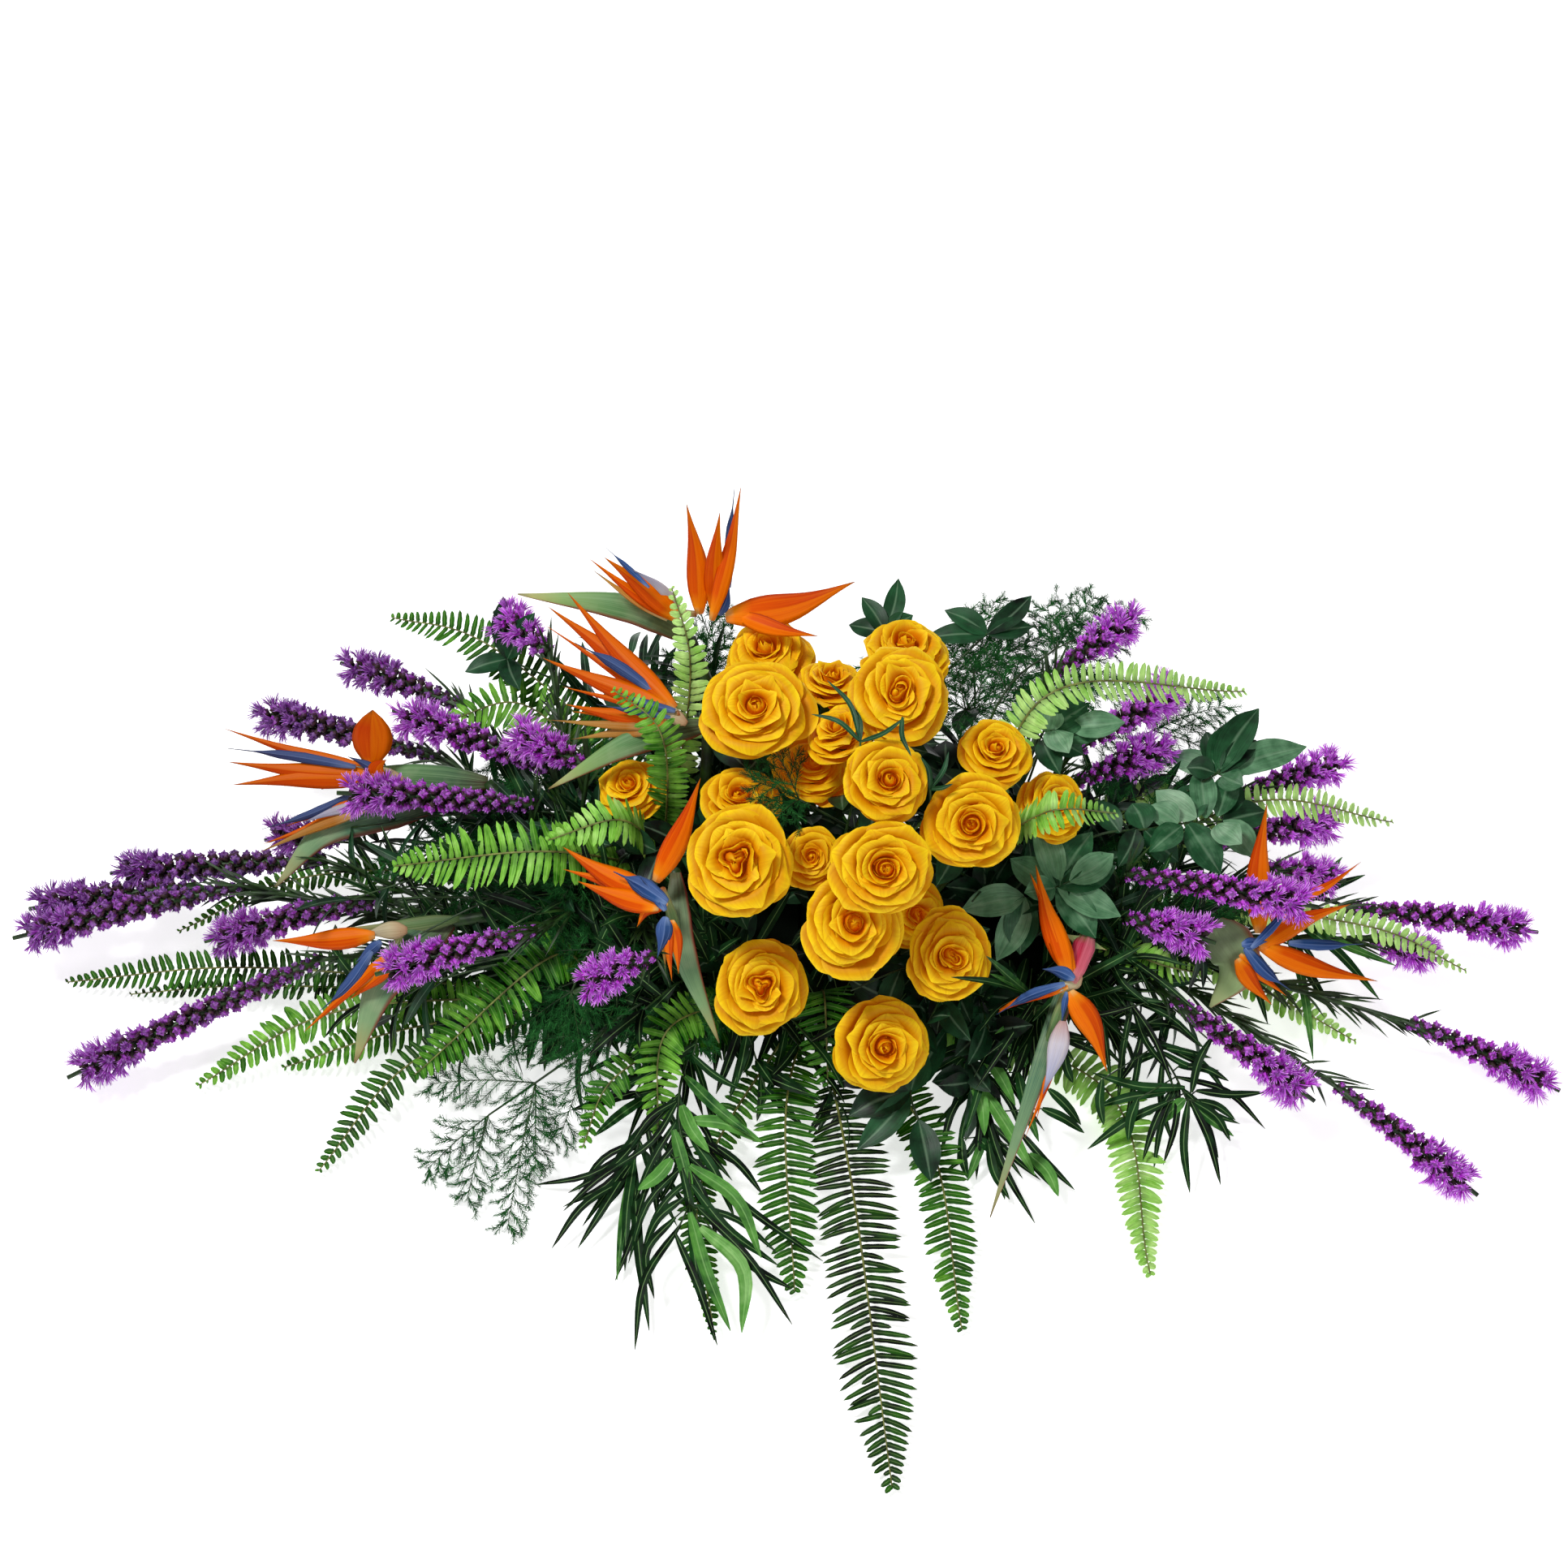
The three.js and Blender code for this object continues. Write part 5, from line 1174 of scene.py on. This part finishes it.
# Greens
def frond(piece, start, bend, tip, width, light, rng):
    """A sword fern frond: two rows of close leaflets along a thin rib."""
    pitch = SPACING["leaflet"]
    bare = 0.2
    points = [start, bend, tip]
    n = 80
    line = curve(points, n)
    length = np.linalg.norm(np.diff(line, axis=0), axis=1).sum()
    count = int(length * (1 - bare) / pitch)
    p = np.repeat(np.linspace(0, 1, count), 2)
    side = np.tile([-1.0, 1.0], count)
    t = bare + (1 - bare) * np.clip(p + side * 0.2 / count, 0, 1)
    centre, forward, sideways, face = (
        sample(t, np.linspace(0, 1, n + 1), values) for values in (line, *frames(line, SKYWARD)))
    forward, sideways, face = unit(forward), unit(sideways), unit(face)
    k = len(t)
    reach = width / 2000 * np.minimum(np.minimum(1, 0.5 + 2.6 * p), 2.1 * (1 - p) ** 0.8 + 0.2)
    reach *= rng.uniform(0.92, 1.06, k) * np.where(rng.uniform(0, 1, k) < 0.03, 0.5, 1)
    sweep = np.radians(4 + 24 * p**2 + rng.normal(0, 3.5, k))
    way = unit(around(sweep, sideways * side[:, None], forward))
    normal = unit(around(np.radians(rng.normal(10, 7, k)), face, forward))
    breadth = unit(np.cross(normal, way))
    normal = np.cross(way, breadth)
    u = np.linspace(0, 1, 8)
    w = np.array([-1.0, 0.0, 1.0])
    shape = np.interp(u, [0, 0.08, 0.3, 0.6, 0.8, 0.92, 1], [0.7, 1, 1, 0.94, 0.8, 0.5, 0.08])
    half = pitch * mix(0.34, 0.44, min(light, 1)) * shape * np.minimum(1, reach[:, None] / (1.1 * pitch))
    drop = (rng.normal(0.06, 0.06, k) * reach)[:, None] * u**2
    hook = (rng.normal(0.07, 0.06, k) * reach)[:, None] * u**2
    grid = (
        (centre[:, None] + way[:, None] * (reach[:, None] * u)[..., None]
         - face[:, None] * drop[..., None] + forward[:, None] * hook[..., None])[:, :, None]
        + (w * (half * (1 + 0.08 * np.sin(u * 16)))[..., None])[..., None] * breadth[:, None, None]
        - (np.abs(w) * half[..., None] * 0.22)[..., None] * normal[:, None, None]
    )
    # The frond's lightness, partly painted light and shade, tints its leaflets
    tint = np.clip(light + rng.normal(0, 0.08, k) + 0.15 * p - 0.05, 0, 1.4)
    piece.sheets(grid, u, w, tint, 0)
    tube(piece, points, STEM_RADIUS["thin"], steps=40, taper=0.4, tint=min(light, 1), finish=1)


def gathered(table):
    """The bunches of a table of stems: the start, way, leaves and further leaves of each stem."""
    for name in dict.fromkeys(head[0] for head, _ in table):
        own = [(head[1:], leaves) for head, leaves in table if head[0] == name]
        yield name, [
            (start, way, [row for row in leaves if len(row) == 4], [row for row in leaves if len(row) > 4])
            for start, (way, leaves) in zip(starts(name, len(own)), own)
        ]


def leafy(piece, start, way, leaves, make):
    """A stem, with something that make puts from its points to each leaf's tip. Returns its line."""
    points = [start, *places(way)]
    tube(piece, points, STEM_RADIUS["leafy"], steps=8 * len(points) - 4, taper=0.6, finish=1)
    for nth, *tip in leaves:
        make(points[int(nth) + 1], place(*tip))
    return curve(points, 40)


def more_leaves(piece, stem, leaves, further, lower):
    """The root, tip and lightness of each further leaf of a stem, after a stalk for it. A tip that
    the stem's own leaves have keeps its height, and others lie at a share of the stem's height."""
    known = {(column, row): height for _, column, row, height in leaves}
    for x, y, *end, light in (row[:5] for row in further):
        i = 8 + int(np.argmin(np.linalg.norm(photo_of(stem[8:]) - (x, y), axis=1)))
        height = stem[i][2] * 1000
        root = place(x, y, height + 4 * light)
        tube(piece, [stem[i], root], STEM_RADIUS["stalk"], sides=5, steps=2, taper=0.8, finish=1)
        yield root, place(*end, known.get(tuple(end), max(8, height * lower + 12 * light - 6))), light


def plume(piece, root, tip, rng):
    """A feathery branch: slim side branches in one plane, their twigs, and short needles on all."""
    reach = 0.04
    tint = 0.4
    points = bowed(root, tip, 0.05)
    n = max(5, round(np.linalg.norm(tip - root) / SPACING["branch"]))
    line = curve(points, n)
    tube(piece, points, STEM_RADIUS["plume"], sides=5, steps=10, taper=0.4, tint=tint, finish=1)

    def grow(start, run, face, span, each, length, lean, low=0.08, flat=0.12):
        """New branches from both sides of some branches: their starts, ways, faces and lengths."""
        k = len(start)
        s = (np.arange(each) + rng.uniform(0.2, 0.8, (k, each))) / each * (1 - low) + low
        side = np.where(np.arange(k * each) % 2, 1.0, -1.0).reshape(k, each, 1)
        first = start[:, None] + run[:, None] * (span[:, None] * s)[..., None]
        out = face[:, None] * rng.normal(0, flat, (k, each, 1))
        sideways = unit(np.cross(run, face))[:, None] * side
        way = unit(sideways + run[:, None] * rng.uniform(*lean, (k, each, 1)) + out)
        size = length * rng.uniform(0.7, 1.15, (k, each)) * (1.05 - 0.6 * s**2)
        way = unit(way - UPRIGHT * (2 * size[..., None]))
        return first.reshape(-1, 3), way.reshape(-1, 3), np.repeat(face, each, 0), size.ravel()

    steps = np.diff(line, axis=0)
    face = np.repeat(unit(SKYWARD + rng.normal(0, 0.2, 3))[None], n, 0)
    stem = (line[:-1], unit(steps), face, np.linalg.norm(steps, axis=1))
    *branches, size = grow(*stem, 1, reach, (0.7, 1.2), low=0)
    branches.append(size * np.interp(np.linspace(0, 1, n), [0, 0.2, 0.6, 1], [0.7, 1, 0.8, 0.4]))
    twigs = grow(*branches, 2, 0.016, (1.3, 2.2), low=0.15)
    needles = [grow(*stem, 8, 0.0068, (0.9, 1.8), flat=0.4),
               grow(*branches, 34, 0.0066, (0.9, 1.9), flat=0.4),
               grow(*twigs, 14, 0.0056, (0.9, 1.9), flat=0.4)]
    widths = (0.0005, 0.00045, 0.0003, 0.0003, 0.0003)
    for (start, way, _, size), width in zip((branches, twigs, *needles), widths):
        flat = unit(np.cross(way, EYEWARD + rng.normal(0, 0.5, way.shape))) * width
        end = start + way * size[:, None]
        grid = np.stack([start - flat, start + flat, end - flat * 0.5, end + flat * 0.5], 1)
        piece.sheets(grid.reshape(-1, 2, 2, 3), [0, 1], [-1, 1],
                     np.clip(tint + rng.normal(0, 0.15, len(start)), 0, 1), 0)


def filler(piece, start, end, rng, narrow):
    """A stem of leaves inside the spray, painted dark as the spray's inner shade, which hides the foam."""
    out = unit(end - start)
    points = bowed(start, end, 0.15)
    line = curve(points, 20)
    run = unit(np.gradient(line, axis=0))
    tube(piece, points, STEM_RADIUS["thin"], sides=5, steps=14, taper=0.6, finish=1)
    for k, i in enumerate(range(6, 21, 2 if narrow else 1)):
        for side in ((-1, 1) if narrow else ((-1) ** k,)):
            sideways = unit(np.cross(run[i], out + rng.normal(0, 0.6, 3))) * side
            way = unit(sideways + run[i] * rng.uniform(0.3, 1.1) + rng.normal(0, 0.25, 3))
            tip = line[i] + way * (rng.uniform(0.045, 0.075) if narrow else rng.uniform(0.034, 0.052))
            tip[2] = max(tip[2], LOWEST_TIP)
            face = unit(out + UPRIGHT + rng.normal(0, 0.3, 3))
            passed = [mix(line[i], tip, t) for t in (0, 0.25, 0.5, 0.75, 1)]
            if over_fern(tip) or any(in_bloom(p) or over_bird(p) for p in passed):
                continue
            # The filling leaves' low tints paint them dark: painted shade inside the spray
            if narrow:
                leaf(piece, line[i], tip, LEAF_WIDTH["filling_narrow"], 0.3, rng.uniform(0, 0.35), 0,
                     n=8, m=3, face=face, keys=STRAP)
            else:
                leaf(piece, line[i], tip, LEAF_WIDTH["filling_broad"], 0.2, rng.uniform(0, 0.4), 0,
                     n=8, face=face)


def make_fillers(pieces, rng):
    """Fills the body of the spray, inside the flowers, from the nearest bunches."""

    def fill(name, end, narrow, nudge=0):
        at, way = ROOTS[name]
        filler(pieces[name], at + way * 0.008 + nudge, end, rng, narrow)

    for k in range(BODY_STEMS):
        sine = 0.04 + 0.9 * (k + 0.5) / BODY_STEMS
        flat = math.sqrt(1 - sine**2)
        turn = k * GOLDEN_TURN
        reach = rng.uniform(0.86, 1.04)
        end = FILL["centre"] + reach * FILL["radii"] * (flat * math.cos(turn), flat * math.sin(turn), sine)
        name = min(pieces, key=lambda name: np.linalg.norm(ROOTS[name][0] - end))
        fill(name, end, name.startswith("podocarpus"), rng.uniform(-0.004, 0.004, 3))
    sides = {-1: ("ruscus_back", "podocarpus_left"), 1: ("ruscus_right", "podocarpus_right")}
    for k in range(SIDE_STEMS):
        side = -1 if k % 3 else 1
        end = np.array([side * rng.uniform(0.26, 0.42), rng.uniform(-0.13, 0.15), rng.uniform(0.02, 0.15)])
        fill(sides[side][k % 2], end, True)
    for name, *end, narrow in BEHIND:
        fill(name, place(*end), narrow)


def skirt(pieces, rng):
    """Dark leaves stuck into the foam's sides, over the tray's edge."""
    length, depth = FOAM["length"] / 2, FOAM["depth"] / 2
    for k in range(SKIRT_LEAVES):
        side = 1 if k % 5 in (0, 3) else -1
        if k % 10 == 9:
            root = np.array([side * length, rng.uniform(-depth, depth), rng.uniform(0.03, 0.08)])
            way = np.array([side, rng.uniform(-0.6, 0.6), rng.uniform(-0.5, 0.1)])
        else:
            root = np.array([rng.uniform(-length, length), side * depth, rng.uniform(0.035, 0.085)])
            way = np.array([rng.uniform(-0.7, 0.7), side, rng.uniform(-0.8, 0)])
        tip = root + unit(way) * rng.uniform(0.05, 0.09)
        tip[2] = max(tip[2], LOWEST_TIP)
        if not over_bird(tip):
            name = "podocarpus_left" if root[0] < 0.05 else "podocarpus_right"
            leaf(pieces[name], root, tip, LEAF_WIDTH["skirt"], 0.3, rng.uniform(0, 0.35), 0,
                 n=7, m=3, keys=STRAP)


def hanging_leaves(piece, stem, rng):
    """Thin dark leaves that hang from the outer part of a stem."""
    run = unit(np.gradient(stem, axis=0))
    for i in rng.integers(14, 41, HANGING_LEAVES):
        aside = unit(np.cross(run[i], SKYWARD)) * rng.uniform(-1, 1)
        way = unit(run[i] * rng.uniform(0.4, 1) + aside - UPRIGHT * 0.25)
        tip = stem[i] + way * rng.uniform(0.05, 0.105)
        tip[2] = max(tip[2], 0.002 + LOWEST_TIP)
        if not in_bloom(tip) and not over_fern(tip) and not over_bird(tip):
            leaf(piece, stem[i], tip, LEAF_WIDTH["hanging"], 0.3, rng.uniform(0, 0.3), 0, m=3,
                 bow=rng.uniform(-0.12, 0.12), keys=STRAP)


def ruscus(piece, start, way, leaves, further, rng):
    """A stem of broad leaves, painted dark as shade at the back of the spray and low at its front."""
    behind = piece.name == "ruscus_back_look"
    width = LEAF_WIDTH["ruscus_back" if behind else "ruscus"]
    # Leaves at the back and low at the front get dark tints: painted shade
    tints = (0.15, 0.5) if behind or way[1] > LOW_ROW else (0.35, 1.1)
    stem = leafy(piece, start, way, leaves, lambda root, tip: leaf(
        piece, root, tip, width * rng.uniform(0.85, 1.1), 0.22, rng.uniform(*tints), 0, n=13, m=7,
        arch=0.06, bow=rng.uniform(-0.05, 0.05), wave=0.08))
    for root, tip, light in more_leaves(piece, stem, leaves, further, 1.03):
        leaf(piece, root, tip, 0.021 + 0.006 * light, 0.2, light, 0, n=11, m=7,
             bow=rng.uniform(-0.06, 0.06), wave=0.08)


def podocarpus(piece, start, way, leaves, further, rng):
    """A stem of long narrow leaves. A leaf that a further row describes is made once."""
    ends = [row[2:4] for row in further]
    own = [row for row in leaves if row[1:3] not in ends]
    stem = leafy(piece, start, way, own, lambda root, tip: leaf(
        piece, root, tip, LEAF_WIDTH["podocarpus"] * rng.uniform(0.85, 1.15), 0.3, rng.uniform(0.1, 0.8), 0,
        n=12, arch=0.06, bow=rng.uniform(-0.06, 0.06), keys=STRAP))
    made = more_leaves(piece, stem, leaves, further, 0.55)
    for (root, tip, light), row in zip(made, further):
        bow = row[5] if len(row) > 5 else rng.uniform(-0.1, 0.1)
        leaf(piece, root, tip, 0.0066 + 0.006 * light, 0.3, light, 0, n=12, arch=0.07, bow=bow, keys=STRAP)
    hanging_leaves(piece, stem, rng)


def make_greens():
    rng = np.random.default_rng(7)
    for (name,), fronds in FRONDS:
        piece = bunch(name, 1)
        for start, row in zip(starts(name, len(fronds)), fronds):
            frond(piece, start, *places(row), *row[6:], rng)
        piece.build([FERN, FERN_RIB], "fern_leaf", [name])
    broad = {}
    for table, grow in ((RUSCUS, ruscus), (PODOCARPUS, podocarpus)):
        for name, stems in gathered(table):
            broad[name] = bunch(name, 1)
            for stem in stems:
                grow(broad[name], *stem, rng)
    make_fillers(broad, rng)
    skirt(broad, rng)
    for name, piece in broad.items():
        if name.startswith("ruscus"):
            piece.build([RUSCUS_LEAF, WOODY], "ruscus_leaf", [name])
        else:
            piece.build([PODOCARPUS_LEAF, WOODY], "podocarpus_leaf", [name])
    for name, stems in gathered(PLUMOSA):
        piece = bunch(name, 1)
        for start, way, leaves, _ in stems:
            leafy(piece, start, way, leaves, lambda root, tip: plume(piece, root, tip, rng))
        piece.build([NEEDLE, WOODY], "plumosa", [name])


def repaint(node, material):
    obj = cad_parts[node]
    for slot in obj.material_slots:
        slot.link = "OBJECT"
        slot.material = material


# The floor, the lamps and the camera
def stand(obj, at, across, up, back):
    """Sets a lamp or a camera in its place, looking away from its last way."""
    turned = Matrix([[*row, 0] for row in np.stack([across, up, back], 1)] + [[0, 0, 0, 1]])
    obj.matrix_world = Matrix.Translation(at) @ turned
    bpy.context.scene.collection.objects.link(obj)


def lamp(name, at, size, power):
    """A round lamp that shines on the origin."""
    data = bpy.data.lights.new(name, "AREA")
    data.shape = "DISK"
    data.size = size
    data.energy = power
    back = unit(np.array(at))
    across = unit(np.cross(UPRIGHT, back))
    stand(bpy.data.objects.new(name, data), at, across, np.cross(back, across), back)


def make_stage():
    mesh = bpy.data.meshes.new("floor")
    mesh.from_pydata([(-8, -8, 0), (8, -8, 0), (8, 8, 0), (-8, 8, 0)], [], [(0, 1, 2, 3)])
    mesh.materials.append(floor_material())
    floor = bpy.data.objects.new("floor", mesh)
    bpy.context.scene.collection.objects.link(floor)

    world = bpy.data.worlds.new("studio")
    world.use_nodes = True
    background = world.node_tree.nodes["Background"].inputs
    background["Color"].default_value = (1, 1, 1, 1)
    background["Strength"].default_value = 0.22
    bpy.context.scene.world = world
    lamp("key", (-1.3, -0.3, 3.2), 0.7, 72)
    lamp("front", (1.4, -2.4, 2.2), 1.2, 18)
    lamp("back", (0.4, 2.8, 1.9), 1.4, 14)
    bpy.context.scene.view_settings.view_transform = "Standard"

    camera = bpy.data.cameras.new("camera")
    camera.sensor_width = 36
    camera.lens = camera.sensor_width * EYE_DISTANCE / (PHOTO_SIZE * PIXEL)
    camera.clip_start, camera.clip_end = 0.1, 50
    view = bpy.data.objects.new("camera", camera)
    stand(view, EYE, RIGHT, UP, EYEWARD)
    bpy.context.scene.camera = view


make_stage()
make_roses()
make_birds()
make_liatris()
make_greens()
repaint("foam_block", foam_material())
repaint("holder_tray", tray_material())
